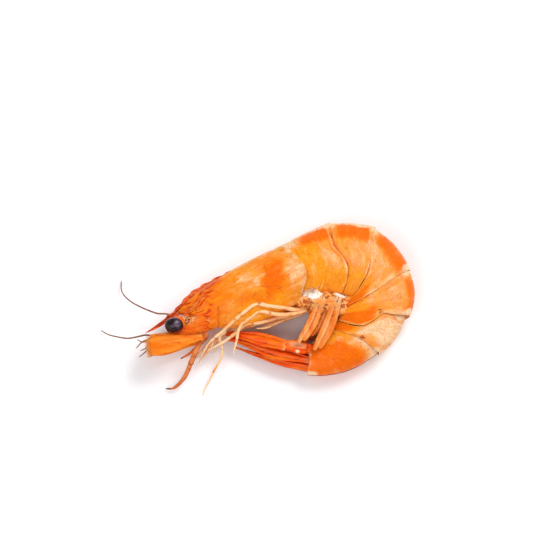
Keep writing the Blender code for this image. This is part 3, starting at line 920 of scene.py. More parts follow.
# Each joint: its front and rear border, its half width and its height at both, and its arch.
JOINTS = [
    (border(HIND_EDGE, SHELL_GAP, 0.01, 0.88), border(BORDER_1, 0.0, 0.0, 0.93),
     (8.85, 8.72), (8.8, 8.75), 0.3),
    (border(BORDER_1, SHELL_GAP, 0.012, 0.93), border(BORDER_2, 0.0, 0.0, 0.92),
     (8.66, 8.65), (8.7, 8.65), 0.6),
    (border(BORDER_2, 0.1, 0.025, 0.92), border(BORDER_3),
     (8.5, 8.1), (8.6, 8.15), 1.5),
    (border(BORDER_3, SHELL_GAP, 0.014), border(BORDER_4),
     (8.02, 7.3), (8.0, 7.35), 1.7),
    (border(BORDER_4, SHELL_GAP, 0.065), border(BORDER_5, 0.0, 0.035),
     (7.26, 6.3), (7.2, 6.4), 1.5),
    (border(BORDER_5, SHELL_GAP, 0.07), border(TAIL_EDGE),
     (6.24, 4.3), (6.25, 4.7), 2.6),
]

# %% Tail joint colours
# Each wash: where it starts and ends along the plate and down from the back, and its strength.
JOINT_WASHES = {
    1: {"orange": [((0.28, 1.02), (-0.2, 0.27), 1.0), ((0.86, 1.02), (0.27, 0.62), 0.75)],
        "gold": [((-0.1, 0.55), (0.25, 1.0), 0.95), ((0.4, 1.1), (0.66, 1.0), 0.8)],
        "cream": [((-0.1, 0.22), (-0.1, 0.22), 0.75), ((0.50, 0.78), (0.34, 0.58), 0.30)]},
    2: {"orange": [((0.08, 0.96), (-0.2, 0.29), 1.0), ((0.0, 0.18), (0.48, 0.70), 0.7)],
        "gold": [((-0.1, 1.1), (0.66, 1.0), 0.95), ((0.1, 0.5), (0.3, 0.5), 0.45)],
        "cream": [((0.3, 0.6), (0.38, 0.54), 0.30)]},
    3: {"orange": [((0.10, 1.0), (-0.2, 0.24), 1.0), ((0.45, 1.1), (0.62, 1.0), 0.85)],
        "gold": [((-0.1, 0.7), (0.58, 1.0), 0.85)],
        "cream": [((0.0, 0.22), (0.18, 0.60), 0.55), ((0.86, 1.1), (0.2, 0.6), 0.45)]},
    4: {"orange": [((0.12, 0.94), (-0.2, 0.11), 1.0), ((0.42, 1.0), (0.50, 0.92), 0.95)],
        "gold": [((-0.1, 0.6), (0.62, 1.0), 0.9)],
        "cream": [((0.1, 0.5), (0.18, 0.34), 0.35), ((0.93, 1.1), (-0.1, 0.3), 0.6)]},
    5: {"orange": [((0.0, 1.0), (0.66, 0.96), 0.95), ((0.86, 1.1), (0.06, 0.5), 0.6)],
        "gold": [((-0.1, 1.1), (0.6, 1.0), 0.7)],
        "cream": [((0.08, 0.78), (0.0, 0.56), 0.80)]},
    6: {"orange": [((0.12, 1.1), (-0.2, 0.70), 1.0), ((0.5, 1.1), (0.6, 1.1), 0.85)],
        "gold": [((-0.1, 0.6), (0.6, 1.1), 0.8)],
        "cream": [((-0.2, 0.10), (-0.1, 0.5), 0.8), ((0.15, 0.4), (0.62, 0.78), 0.35)]},
}
WASH_SOFT_ALONG = 0.26
WASH_SOFT_DOWN = 0.17


def joint_washes(number):
    def strength(key):
        def at(spot, share, level):
            return max((power * band(share, *along, WASH_SOFT_ALONG) * band(level, *down, WASH_SOFT_DOWN)
                        for along, down, power in JOINT_WASHES[number][key]), default=0.0)
        return at

    plain_cream = strength("cream")

    def cream(spot, share, level):
        """The washes, a painted highlight along the back of the first two, and both corners of the back.
        """
        # Painted highlight: a pale band along the back of the first two joints.
        rim = 0.75 * ease((0.085 - level) / 0.04) if number < 3 else 0.0
        rear_corner = 1.5 * oval((share, level), (1.0, 0.03), (0.17, 0.13))
        front_corner = 0.95 * oval((share, level), (0.0, 0.05), (0.13, 0.13))
        lip = 0.35 * band(share, 0.94, 0.985, 0.03)
        return max(plain_cream(spot, share, level), rim, rear_corner, front_corner, lip)

    def red(spot, share, level):
        edge = 0.55 if number < 4 else 0.25
        return edge * ease((share - 0.975) / 0.02) * ease((level - 0.1) / 0.1)

    return {"orange": strength("orange"), "gold": strength("gold"), "cream": cream, "red": red}


print("washes", sum(len(spots) for washes in JOINT_WASHES.values() for spots in washes.values()))

# %% Hinges, keel and the six joints
# Strokes of brown where two plates are hinged, each from one point on the board to another.
HINGES = [((10.7, -5.1), (11.7, -4.7)), ((11.0, -5.7), (11.9, -5.6)),
          ((4.7, -13.5), (5.6, -14.1)), ((5.3, -13.2), (6.3, -14.0))]
HINGE_WIDTH = 0.22
KEEL_AND_SHADOW_LEVEL = 0.0045


def joint_mark_and_shadow(number, place, level):
    """The hinges of the joint and, on the last one, a thin dark line along its back, which is partly the
    keel's own dark rim and partly painted shadow along that edge.
    """
    keel = 0.9 * ease((KEEL_AND_SHADOW_LEVEL - level) / 0.003) if number == len(JOINTS) else 0.0
    near = min(along_line(place, start, end)[0] for start, end in HINGES)
    return max(keel, 0.85 * bell(near, 0.0, HINGE_WIDTH))


for number, measures in enumerate(JOINTS, start=1):
    joint = tail_joint(number, *measures)
    paint(joint, joint_washes(number))
    places = [to_board(point.co) for point in joint.data.vertices]
    write(joint, "mark_and_shade", [joint_mark_and_shadow(number, place, level)
                          for place, level in zip(places, read(joint, "level"))])
    dress(joint, SHELL, "cooked_shell", f"somite_{number}")
    print(joint.name, "points", len(joint.data.vertices))

# %% [markdown]
# ## Finishes for the head, the fan and the legs
# The head and the fan have the same thin shell, in deeper reds. The legs are pale and half clear, so
# they get more light through them. All of them are streaked along their length, so they share one
# finish, and differ in its three colours, in the stretch of its streaks and in the darkest line.

# %% Streaked finishes
STREAKED_COAT = 0.2
DARK_GRAIN = (0.22, 0.05, 0.015)


def streaked_finish(name, colours, roughness, stretch, soft=0.25, line=(0.45, 0.03, 0.01)):
    """Shell with lengthwise streaks, from three colours: the main, a lighter and a deeper one."""
    main, light, deep = colours
    material, tree, shader = new_finish(name, roughness, STREAKED_COAT, soft, (0.9, 0.4, 0.15))
    where = place_on_piece(tree, stretch)
    broad = noise_at(tree, where, 0.25, 3.0, 0.3)
    fine = noise_at(tree, where, 1.1, 4.0, 0.2)
    colour = wash(tree, main, light, broad, 0.35, 0.68)
    colour = wash(tree, colour, deep, fine, 0.52, 0.75, 0.75)
    colour = wash(tree, colour, CREAM, painted(tree, "cream"), 0.1, 0.9, 0.9)
    dark = plus(tree, painted(tree, "red"), sums(tree, "SUBTRACT", fine, 0.55))
    colour = wash(tree, colour, line, dark, 0.2, 0.9)
    grains = times(tree, dots_at(tree, place_on_piece(tree), 2.2, 0.42), painted(tree, "freckles"))
    colour = blend(tree, grains, colour, DARK_GRAIN)
    colour = blend(tree, painted(tree, "mark_and_shade"), colour, BROWN)
    link(tree, colour, shader.inputs["Base Color"])
    link(tree, ramp(tree, broad, 0.3, 0.7, roughness - 0.08, roughness + 0.1),
         shader.inputs["Roughness"])
    raise_surface(tree, shader, fine, 0.4, 0.12)
    return material


HEAD = streaked_finish("head_shell",
                       ((0.85, 0.128, 0.003), (0.86, 0.25, 0.02), (0.62, 0.040, 0.003)),
                       0.36, (0.5, 1.6, 1.0))
SCALE = streaked_finish("scale_shell",
                        ((0.80, 0.185, 0.004), (0.82, 0.30, 0.03), (0.70, 0.085, 0.003)),
                        0.36, (0.35, 1.8, 1.0))
BEAK = streaked_finish("beak_shell",
                       ((0.50, 0.060, 0.012), (0.80, 0.20, 0.06), (0.25, 0.02, 0.008)),
                       0.34, (0.7, 1.4, 1.0), line=(0.20, 0.02, 0.008))
FAN = streaked_finish("tail_fan",
                      ((0.84, 0.105, 0.002), (0.87, 0.20, 0.008), (0.56, 0.035, 0.003)),
                      0.36, (0.35, 2.2, 1.5), line=(0.22, 0.012, 0.005))
LEG = streaked_finish("pale_leg",
                      ((0.92, 0.50, 0.23), (0.94, 0.66, 0.42), (0.88, 0.30, 0.07)),
                      0.38, (0.5, 0.5, 0.5), soft=0.35, line=(0.50, 0.12, 0.02))
JAW = streaked_finish("jaw_leg",
                      ((0.60, 0.16, 0.035), (0.74, 0.27, 0.09), (0.38, 0.07, 0.02)),
                      0.38, (0.6, 0.6, 0.6), soft=0.2, line=(0.16, 0.04, 0.015))
FLIPPER = streaked_finish("swimming_leg",
                          ((0.76, 0.21, 0.030), (0.84, 0.34, 0.10), (0.60, 0.11, 0.012)),
                          0.38, (1.6, 0.35, 1.0), soft=0.3, line=(0.42, 0.09, 0.02))
print("finishes", len(bpy.data.materials))

# %% [markdown]
# ## Finishes for the eyes, the feelers, the flesh and the hair
# The eye is a black ball under a wet gloss, with a violet highlight painted where the light falls.
# The feelers are brown and banded, the belly is soft flesh between orange and white, and each kind
# of hair has its own two tones.


# %% Eye and feelers
def whisker_finish():
    material, tree, shader = new_finish("whisker", 0.5)
    rings = noise_at(tree, place_on_piece(tree), 1.2, 2.0)
    colour = wash(tree, (0.19, 0.075, 0.045), (0.34, 0.17, 0.10), rings, 0.35, 0.65)
    link(tree, colour, shader.inputs["Base Color"])
    raise_surface(tree, shader, rings, 0.4, 0.05)
    return material


def eye_finish():
    material, tree, shader = new_finish("black_eye", 0.30, coat=0.5)
    shader.inputs["Coat Roughness"].default_value = 0.20
    where = place_on_piece(tree)
    cloud = noise_at(tree, where, 0.45, 4.0, 0.8)
    grains = noise_at(tree, where, 3.5, 2.0)
    colour = wash(tree, (0.006, 0.003, 0.004), (0.050, 0.022, 0.040), cloud, 0.42, 0.66)
    colour = wash(tree, colour, (0.10, 0.035, 0.02), grains, 0.52, 0.7, 0.5)
    # Painted highlight: a pale violet patch on the side of the ball that turns towards the light.
    painted_highlight = times(tree, painted(tree, "painted_highlight"), ramp(tree, cloud, 0.3, 0.6, 0.4, 1.0))
    colour = blend(tree, painted_highlight, colour, (0.17, 0.12, 0.17))
    link(tree, colour, shader.inputs["Base Color"])
    link(tree, ramp(tree, grains, 0.3, 0.7, 0.24, 0.40), shader.inputs["Roughness"])
    raise_surface(tree, shader, grains, 0.25, 0.04)
    return material


WHISKER = whisker_finish()
EYE = eye_finish()
print("finishes", WHISKER.name, EYE.name)


# %% Flesh and hair
def flesh_finish():
    material, tree, shader = new_finish("pale_flesh", 0.42, 0.15, 0.5, (1.2, 0.8, 0.5))
    where = place_on_piece(tree)
    broad = noise_at(tree, where, 0.35, 3.0, 0.5)
    fine = noise_at(tree, where, 1.6, 4.0, 0.4)
    colour = wash(tree, (0.88, 0.46, 0.17), (0.86, 0.31, 0.07), broad, 0.40, 0.66)
    colour = wash(tree, colour, (0.95, 0.89, 0.81), painted(tree, "cream"), 0.2, 0.8)
    colour = wash(tree, colour, (0.89, 0.29, 0.03), painted(tree, "gold"), 0.0, 1.0)
    # The painted darkening is shade in the hollows of the belly; the noise adds fine dark flecks.
    folds = plus(tree, painted(tree, "red"), sums(tree, "SUBTRACT", fine, 0.62))
    colour = wash(tree, colour, (0.50, 0.13, 0.03), folds, 0.1, 0.7)
    link(tree, colour, shader.inputs["Base Color"])
    raise_surface(tree, shader, fine, 0.8, 0.3)
    return material


def bristle_finish(name, deep, light):
    material, tree, shader = new_finish(name, 0.45)
    tone = noise_at(tree, place_on_piece(tree), 0.8, 2.0)
    link(tree, wash(tree, deep, light, tone, 0.35, 0.65), shader.inputs["Base Color"])
    return material


FLESH = flesh_finish()
BRISTLE = bristle_finish("bristle", (0.82, 0.26, 0.02), (0.90, 0.52, 0.16))
FUZZ = bristle_finish("fuzz", (0.80, 0.55, 0.36), (0.95, 0.84, 0.70))
COTTON = bristle_finish("cotton", (0.93, 0.74, 0.52), (0.96, 0.90, 0.82))
FAN_HAIR = bristle_finish("fan_hair", (0.70, 0.12, 0.02), (0.86, 0.26, 0.05))
print("finishes", len(bpy.data.materials))

# %% [markdown]
# ## The beak
# The rostrum is a thin blade with a saw edge. Its skin runs from the crest of the carapace to the
# tip: each ring spans from the keel to the crest, and the crest rises and drops once for each tooth.
# Rings that follow the teeth keep the saw edge crisp where a Boolean cut would leave ragged faces.

# %% Beak
CREST = [(-33.0, 12.3), (-43.7, 7.3), (-51.8, 2.3), (-57.0, -3.6), (-66.6, -11.3)]
KEEL = [(-34.0, 10.0), (-44.0, 2.0), (-53.6, -4.3), (-58.2, -6.9), (-62.4, -9.6), (-66.6, -11.5)]
TEETH = 8
TEETH_START = 0.04
TEETH_END = 0.86
TOOTH_PEAK = 0.8             # where in a tooth its slow rise ends and its drop starts
TOOTH_RISE = 0.50
BEAK_HALF = 0.5
BEAK_RINGS = 150
BEAK_AROUND = 14


def tooth_rise(share):
    """Height of the saw edge: a slow rise towards the tip and a steep drop after each tooth."""
    if share < TEETH_START or share > TEETH_END:
        return 0.0
    part = (unit((share - 0.06) / 0.74) ** (1.0 / 0.85) * (TEETH - 1) + 1.0) % 1.0
    if part < TOOTH_PEAK:
        return TOOTH_RISE * ease(part / TOOTH_PEAK)
    return TOOTH_RISE * (1.0 - ease((part - TOOTH_PEAK) / 0.2))


def beak():
    def lay(ring, turn):
        share = ring / (BEAK_RINGS - 1)
        angle = 2.0 * math.pi * turn / BEAK_AROUND
        crest, keel = spline(CREST, share), spline(KEEL, share)
        top = crest + (crest - keel).normalized() * tooth_rise(share)
        rise = level_at(turn, BEAK_AROUND)
        spot = mix(keel, top, rise)
        thick = BEAK_HALF * (1.0 - 0.75 * share) * math.sin(math.pi * rise ** 0.7) ** 0.8
        spot = Vector((spot.x, spot.y, MIDDLE + math.copysign(thick, math.sin(angle))))
        return spot, share, rise
    piece = skin("beak", BEAK_RINGS, BEAK_AROUND, lay)
    rounded(piece)
    # Painted highlights: pale glints on the points of the teeth along the crest.
    stain(piece, "cream", lambda along, level: 0.55 * ease((level - 0.93) / 0.05)
          * ease((tooth_rise(along) - 0.7 * TOOTH_RISE) / 0.1))
    stain(piece, "red", lambda along, level: 0.35 + 0.5 * band(level, 0.45, 0.62, 0.1))
    dress(piece, BEAK, "head_shell")
    return piece


print("beak points", len(beak().data.vertices))

# %% [markdown]
# ## Limbs
# A limb is a skin along a line. Its thickness comes from a short list, swells a little at each joint
# and has a fine groove just after it; a touch of unevenness keeps two limbs from looking alike. The
# legs, the feelers and the stalks of the eyes differ only in their measures, so they share it.

# %% A limb
JOINT_SWELL = 0.20
JOINT_GROOVE = 0.24
JOINT_STEP = 0.028           # from the swelling of a joint to its groove, as a share of the limb
BLUNT_END = 0.35             # how far the first and the last ring close
FLOOR_CLEARANCE = 0.05


def frame_along(route, share):
    """The middle of the limb and two directions across it."""
    along = heading(route, share).normalized()
    side = along.cross(Vector((0.0, 0.0, 1.0)))
    side = side.normalized() if side.length > 0.01 else Vector((1.0, 0.0, 0.0))
    return spline(route, share), side, side.cross(along).normalized()


def limb(name, route, radii, rings, around, joints=(), flat=1.0):
    def lay(ring, turn):
        share = ring / (rings - 1)
        centre, side, up = frame_along(route, share)
        radius = value_between(radii, share)
        for joint in joints:
            radius *= 1.0 + JOINT_SWELL * bell(share, joint, 0.02)
            radius *= 1.0 - JOINT_GROOVE * bell(share - joint, JOINT_STEP, 0.009)
        radius *= 1.0 + 0.05 * noise.noise(centre / 2.5)
        if ring in (0, rings - 1):
            radius *= BLUNT_END
        angle = 2.0 * math.pi * turn / around
        spot = centre + side * math.cos(angle) * radius + up * math.sin(angle) * radius * flat
        spot.z = max(spot.z, FLOOR_CLEARANCE)
        return spot, share, level_at(turn, around)
    piece = skin(name, rings, around, lay)
    rounded(piece)
    return piece


def leg(name, node, route, radii, joints, rings, material, tip, claw):
    """A jointed leg; tip and claw: how pale it grows from the middle on, how red at its very end."""
    piece = limb(name, route, radii, rings, 16, joints, 0.85)

    # The dark rings after the joints and the red claw are the leg's own colour; the dark line along one
    # side of the leg is painted shade.
    def red(along, level):
        dark = max((0.6 * bell(along - joint, 0.02, 0.02) for joint in joints), default=0.0)
        return max(dark, 0.55 * ease((level - 0.78) / 0.14), claw * ease((along - 0.88) / 0.08))

    # The pale tip is the leg's own colour; the pale stripe along the other side is painted light.
    stain(piece, "cream", lambda along, level: tip * ease((along - 0.6) / 0.3)
          + 0.4 * ease((0.3 - level) / 0.3))
    stain(piece, "red", red)
    dress(piece, material, "pale_leg", node)


print("limb helpers ready")

# %% [markdown]
# ## Walking legs and jaw legs
# Five pairs of walking legs lie folded under the head. Their routes were read off the photograph
# and laid down to the table. The last pair of jaw legs is thicker and browner, and ends in a dark
# claw.

# %% Legs
# Each leg: its route on the board, its radii from root to tip, where its joints are, and its rings.
LEG_RADII = (0.75, 0.70, 0.74, 0.62, 0.62, 0.48, 0.20)
LEGS = {
    "leg_left_5": (
        [(-11.4, -2.6, 9.9), (-15.6, -4.0, 11.2), (-20.4, -3.7, 12.8), (-25.5, -3.4, 14.2),
         (-29.6, -2.9, 15.1), (-33.2, -5.1, 14.1), (-37.2, -8.0, 11.9), (-40.9, -11.3, 10.7),
         (-44.2, -13.6, 9.3), (-46.2, -15.7, 7.8), (-48.1, -18.8, 6.0)],
        LEG_RADII, (0.38, 0.60, 0.80), 60),
    "leg_left_4": (
        [(-12.4, -3.8, 10.2), (-17.6, -5.5, 11.5), (-23.4, -5.8, 12.5), (-28.8, -5.1, 13.4),
         (-31.2, -6.5, 12.4), (-34.5, -8.8, 10.9), (-35.6, -10.9, 9.9), (-36.1, -13.6, 9.0),
         (-36.8, -16.2, 8.2), (-37.4, -18.7, 7.2)],
        LEG_RADII, (0.36, 0.62, 0.82), 54),
    "leg_left_3": (
        [(-17.0, -4.9, 8.6), (-23.2, -6.4, 9.3), (-29.0, -8.2, 10.4), (-32.7, -8.5, 9.9),
         (-36.8, -11.3, 7.9), (-40.9, -14.2, 7.4), (-46.0, -16.6, 5.8)],
        LEG_RADII, (0.42, 0.7), 44),
    "leg_left_2": (
        [(-39.6, -10.4, 8.2), (-41.9, -12.4, 6.7), (-41.0, -15.2, 5.4), (-41.5, -18.8, 4.2),
         (-43.7, -22.6, 2.7), (-45.2, -25.6, 1.7), (-46.7, -28.2, 0.9), (-47.6, -30.9, 0.4)],
        (0.6, 0.5, 0.42, 0.36, 0.3, 0.14), (0.28, 0.62), 48),
    "leg_left_1": (
        [(-43.8, -12.4, 6.4), (-44.8, -15.0, 4.9), (-47.2, -17.8, 3.6), (-49.0, -20.2, 2.6)],
        (0.6, 0.5, 0.2), (0.5,), 26),
    "leg_right_5": (
        [(-13.6, -4.0, 7.0), (-17.6, -5.4, 7.2), (-22.8, -7.6, 7.9), (-26.4, -9.3, 7.9),
         (-29.8, -9.6, 8.2)],
        (0.7, 0.65, 0.5, 0.24), (0.45,), 28),
    "leg_right_4": (
        [(-22.0, -6.4, 6.6), (-26.6, -7.9, 5.2), (-28.9, -9.0, 4.0)],
        (0.7, 0.6, 0.3), (0.5,), 22),
    "leg_right_3": (
        [(-29.4, -7.5, 6.4), (-33.6, -8.6, 4.9), (-38.4, -9.2, 3.2), (-42.3, -11.7, 1.9),
         (-46.2, -14.9, 0.8)],
        (0.7, 0.6, 0.45, 0.24), (0.35, 0.7), 36),
    "leg_right_2": (
        [(-34.8, -9.0, 6.6), (-38.6, -9.8, 4.8), (-42.8, -13.6, 2.6), (-44.0, -16.4, 0.9)],
        (0.65, 0.55, 0.4, 0.2), (0.35, 0.7), 32),
    "leg_right_1": (
        [(-42.4, -12.4, 4.6), (-46.4, -14.6, 2.6), (-50.2, -17.8, 1.4), (-52.4, -21.0, 0.6)],
        (0.6, 0.5, 0.2), (0.45,), 28),
}
JAW_LEGS = {
    "left": (
        [(-45.8, -11.6, 10.1), (-48.4, -15.0, 9.8), (-50.0, -18.0, 8.5), (-51.6, -21.6, 6.9),
         (-53.3, -25.0, 5.0), (-55.5, -27.4, 3.0), (-57.6, -28.6, 1.5), (-60.2, -28.5, 0.6)],
        (0.85, 0.95, 0.88, 0.78, 0.6, 0.16), (0.12, 0.45, 0.86), 52),
    "right": (
        [(-45.8, -11.9, 7.4), (-49.2, -15.3, 6.7), (-51.8, -17.6, 6.1), (-55.0, -19.2, 4.7)],
        (0.8, 0.7, 0.5, 0.2), (0.4,), 28),
}
for node, measures in LEGS.items():
    leg("walking_" + node, node, *measures, LEG, 0.6, 0.0)
for side, measures in JAW_LEGS.items():
    leg("jaw_limb_" + side, "jaw_leg_" + side, *measures, JAW, 0.0, 1.2)
print("legs", len(LEGS) + len(JAW_LEGS))

# %% [markdown]
# ## Feelers
# The long whiskers and the short feelers are thin limbs without joints. Their many rings follow the
# bends, and the unevenness of a limb keeps them from looking like wire.

# %% Feelers
# Each feeler: its route on the board, its radii from root to tip, and its rings.
FEELERS = {
    "whisker_left": (
        [(-64.3, -12.3, 9.0), (-66.9, -11.7, 7.4), (-69.2, -12.0, 6.4), (-72.7, -12.2, 4.9),
         (-76.0, -11.4, 3.4), (-79.6, -10.1, 1.8), (-82.1, -8.4, 0.5)],
        (0.36, 0.30, 0.25, 0.18), 60),
    "whisker_right": (
        [(-53.4, -9.5, 8.0), (-55.0, -7.6, 7.7), (-57.2, -5.3, 7.6), (-59.8, -4.4, 7.3),
         (-62.6, -4.1, 6.7), (-65.2, -3.1, 6.0), (-68.9, -1.2, 4.8), (-71.8, 0.7, 3.7),
         (-74.1, 3.0, 2.5), (-75.3, 5.3, 1.4), (-75.5, 8.9, 0.5)],
        (0.36, 0.31, 0.27, 0.20), 90),
    "short_feeler_left_1": (
        [(-64.2, -12.9, 10.3), (-67.0, -14.8, 10.3), (-69.4, -13.7, 9.8)], (0.35, 0.15), 16),
    "short_feeler_left_2": (
        [(-64.2, -13.2, 9.6), (-66.3, -16.6, 9.2), (-68.4, -17.3, 8.4)], (0.35, 0.14), 16),
    "short_feeler_right_1": (
        [(-64.2, -12.9, 7.4), (-67.6, -13.9, 7.0), (-69.9, -16.2, 6.3)], (0.35, 0.15), 16),
    "short_feeler_right_2": (
        [(-64.0, -13.2, 6.9), (-66.6, -17.0, 5.9), (-68.9, -18.7, 4.9)], (0.35, 0.14), 16),
}
FEELER_AROUND = 8
for node, measures in FEELERS.items():
    feeler = limb("fine_" + node, *measures, FEELER_AROUND)
    dress(feeler, WHISKER, "whisker", node)
print("feelers", len(FEELERS))

# %% [markdown]
# ## Leaves
# The blades of the tail fan, the scales of the head and the paddles under the tail are all leaves:
# flat skins along a spine. Lengthwise ridges fold the whole leaf up and down across its width, so
# they show from both sides, as on a real blade.


# %% A leaf
def leaf(name, spine, half, thick, rings, around, ridges, folds, edge=0.0):
    """half, thick: functions along the leaf; ridges: fold height; edge: how much the rim swells."""
    def lay(ring, turn):
        share = ring / (rings - 1)
        centre = spline(spine, share)
        along = heading(spine, share)
        across = Vector((-along.y, along.x, 0.0)).normalized()
        normal = along.normalized().cross(across).normalized()
        angle = 2.0 * math.pi * turn / around
        reach = math.cos(angle)
        swell = math.copysign(abs(math.sin(angle)) ** 0.7, math.sin(angle))
        body = thick(share) / 2.0 * (1.0 + edge * bell(abs(reach), 0.85, 0.08))
        fold = ridges * math.cos(reach * math.pi * folds) * ease(share / 0.12) * (1.0 - reach ** 6)
        wave = 0.12 * noise.noise(centre / 3.0 + across * reach * 2.0)
        spot = centre + across * reach * half(share) + normal * (swell * body + fold + wave)
        spot.z = max(spot.z, FLOOR_CLEARANCE)
        return spot, share, (reach + 1.0) / 2.0
    piece = skin(name, rings, around, lay)
    rounded(piece)
    return piece


def taper(root, wide, tip, widest):
    """The half width along a leaf: from its root to its widest place, and on to its tip."""
    def at(share):
        if share < widest:
            return mix(root, wide, ease(share / widest))
        return mix(wide, tip, ease((share - widest) / (1.0 - widest)) ** 1.2)
    return at


print("half width in the middle of a leaf", taper(1.0, 3.0, 1.0, 0.5)(0.5))

# %% [markdown]
# ## The tail fan
# The telson and the inner blades slip under the last joint, and the outer blades hang on a short
# round base with a white spot. Each blade is a ridged leaf with dark rims, painted shade in its
# valleys and a painted highlight on its ridges.

# %% Fan blades
ROOT_DEPTH = 1.5             # how far the inner blades and the telson reach in under the last plate
FAN_RIDGES = 0.26
FAN_FOLDS = 2.0
# Each blade: its spine on the board, its half width at the root, at its widest and at the tip, how
# far along it is widest, and its thickness.
FAN_BLADES = {
    "telson": (
        [(-12.4, -21.9, 4.8), (-22.0, -19.9, 4.7), (-30.0, -17.5, 4.2), (-37.0, -15.0, 3.9)],
        (1.9, 1.7, 0.25, 0.2), 2.6),
    "uropod_left_outer": (
        [(-19.6, -15.5, 8.3), (-28.0, -13.2, 7.6), (-35.0, -11.5, 6.7), (-39.8, -11.0, 6.1)],
        (1.9, 2.3, 0.6, 0.35), 1.1),
    "uropod_left_inner": (
        [(-13.2, -19.8, 6.7), (-24.0, -17.0, 6.3), (-33.0, -13.9, 5.6), (-39.2, -12.3, 5.0)],
        (1.2, 2.5, 0.6, 0.4), 0.9),
    "uropod_right_inner": (
        [(-13.4, -19.4, 3.0), (-24.0, -15.9, 2.9), (-33.0, -12.8, 2.4), (-38.9, -11.8, 2.2)],
        (1.0, 2.5, 0.6, 0.4), 0.8),
    "uropod_right_outer": (
        [(-19.6, -14.7, 1.3), (-28.0, -12.4, 1.1), (-34.5, -10.9, 1.0), (-39.0, -10.6, 0.9)],
        (1.9, 2.2, 0.6, 0.35), 0.8),
}


def valley(level):
    """1 in the valleys between the ridges of a blade, 0 on top of them."""
    return 0.5 + 0.5 * math.cos(((level * 2.0 - 1.0) * FAN_FOLDS + 1.0) * math.pi)


# The dark rims and the dark tip are the blade's own colour; the darkened valleys between the ridges are
# painted shade.
def blade_rims_and_valley_shade(along, level):
    rims = max(ease((0.05 - level) / 0.04), ease((level - 0.95) / 0.04))
    return max(0.62 * valley(level) ** 5 * ease(along / 0.15), 0.35 * ease((along - 0.9) / 0.1),
               0.6 * rims)


# The pale root is the blade's own colour; the paler ridges are a painted highlight.
def blade_root_and_ridge_highlight(along, level):
    return 0.45 * ease((0.10 - along) / 0.1) + 0.16 * (1.0 - valley(level)) ** 3


def fan_blade(node, spine, widths, thickness):
    if not node.endswith("outer"):
        first = Vector(spine[0])
        inward = (first - Vector(spine[1])).normalized() * ROOT_DEPTH
        spine = [tuple(first + inward), *spine]
    piece = leaf("fan_" + node, spine, taper(*widths),
                 lambda share: mix(thickness, thickness * 0.5, share),
                 44, 48, FAN_RIDGES, FAN_FOLDS)
    stain(piece, "red", blade_rims_and_valley_shade)
    stain(piece, "cream", blade_root_and_ridge_highlight)
    dress(piece, FAN, "tail_fan", node)


for node, measures in FAN_BLADES.items():
    fan_blade(node, *measures)
print("fan blades", len(FAN_BLADES))

# %% Bases of the outer blades
BASE_THICKNESS = (1.9, 2.4, 2.5, 2.2, 1.4, 0.5)
WHITE_SPOT = (0.46, 0.90)    # how far along the base, and how far across it


def base_cream(along, level):
    """A pale field, and a white spot near the rim."""
    away = math.hypot(along - WHITE_SPOT[0], (level - WHITE_SPOT[1]) * 0.6)
    return max(0.52 * band(level, 0.15, 0.66, 0.3) * band(along, 0.25, 0.8, 0.3),
               1.1 * ease((0.09 - away) / 0.05))


def base_red(along, level):
    return max(0.6 * band(along, 0.16, 0.24, 0.05), 0.45 * band(level, 0.66, 0.72, 0.07),
               0.45 * ease((along - 0.95) / 0.04))


def base_height(spot, share, level):
    return 0.16 * math.sin(level * 13.0) * ease(share / 0.2) + 0.22 * ripple(spot, 1.3)


def fan_base(side, sign, height):
    spine = [(-10.9, -16.8, height - sign * 0.5), (-13.2, -16.5, height),
             (-16.6, -15.8, height + 0.2), (-21.2, -14.7, height - 0.1)]
    piece = leaf(f"fan_base_{side}", spine, taper(1.5, 2.1, 1.1, 0.5),
                 lambda share: value_between(BASE_THICKNESS, share), 32, 32, 0.0, 1.0)
    relief(piece, base_height)
    stain(piece, "cream", base_cream)
    stain(piece, "red", base_red)
    dress(piece, FAN, "tail_fan", f"uropod_base_{side}")


fan_base("left", 1.0, 8.3)
fan_base("right", -1.0, 1.6)
print("white spot at", WHITE_SPOT)

# %% [markdown]
# ## Head
# Between the eyes and the mouth lie the thick roots of the feelers, under a broad stiff scale on
# each side. The scale is widest at its front, where it carries a brush of bristles. The base of the
# head is a hoop like a plate, without lips, because the shield covers its rear end.

# %% Base of the head
HEAD_FRONT = [(-58.2, -11.6), (-59.3, -13.8), (-59.0, -15.6)]
HEAD_RINGS = 30
HEAD_AROUND = 60


def trough(spot):
    """The hollow in which the eye stalk lies."""
    return oval(spot, (-50.4, -7.9), (4.8, 1.7), tilt=0.32)


def head_height(spot, share, level):
    return (0.35 * ripple(spot, 2.6) + 0.12 * ripple(spot, 0.9)
            + furrow(spot, (-58.0, -12.5), (-47.0, -9.5), 0.5, 0.35))


def head_mark(spot, share, level):
    return (0.9 * oval(spot, (-51.2, -6.9), (4.8, 1.9), tilt=0.35)
            * ease((streaks(spot, 0.35) - 0.5) / 0.1))


def head_red(spot, share, level):
    return max(0.55 * oval(spot, (-51.0, -9.8), (4.5, 0.5), tilt=0.3),
               0.50 * oval(spot, (-50.0, -6.2), (4.5, 0.6), tilt=0.4),
               0.55 * ease((streaks(spot, 0.5) - 0.55) / 0.2))


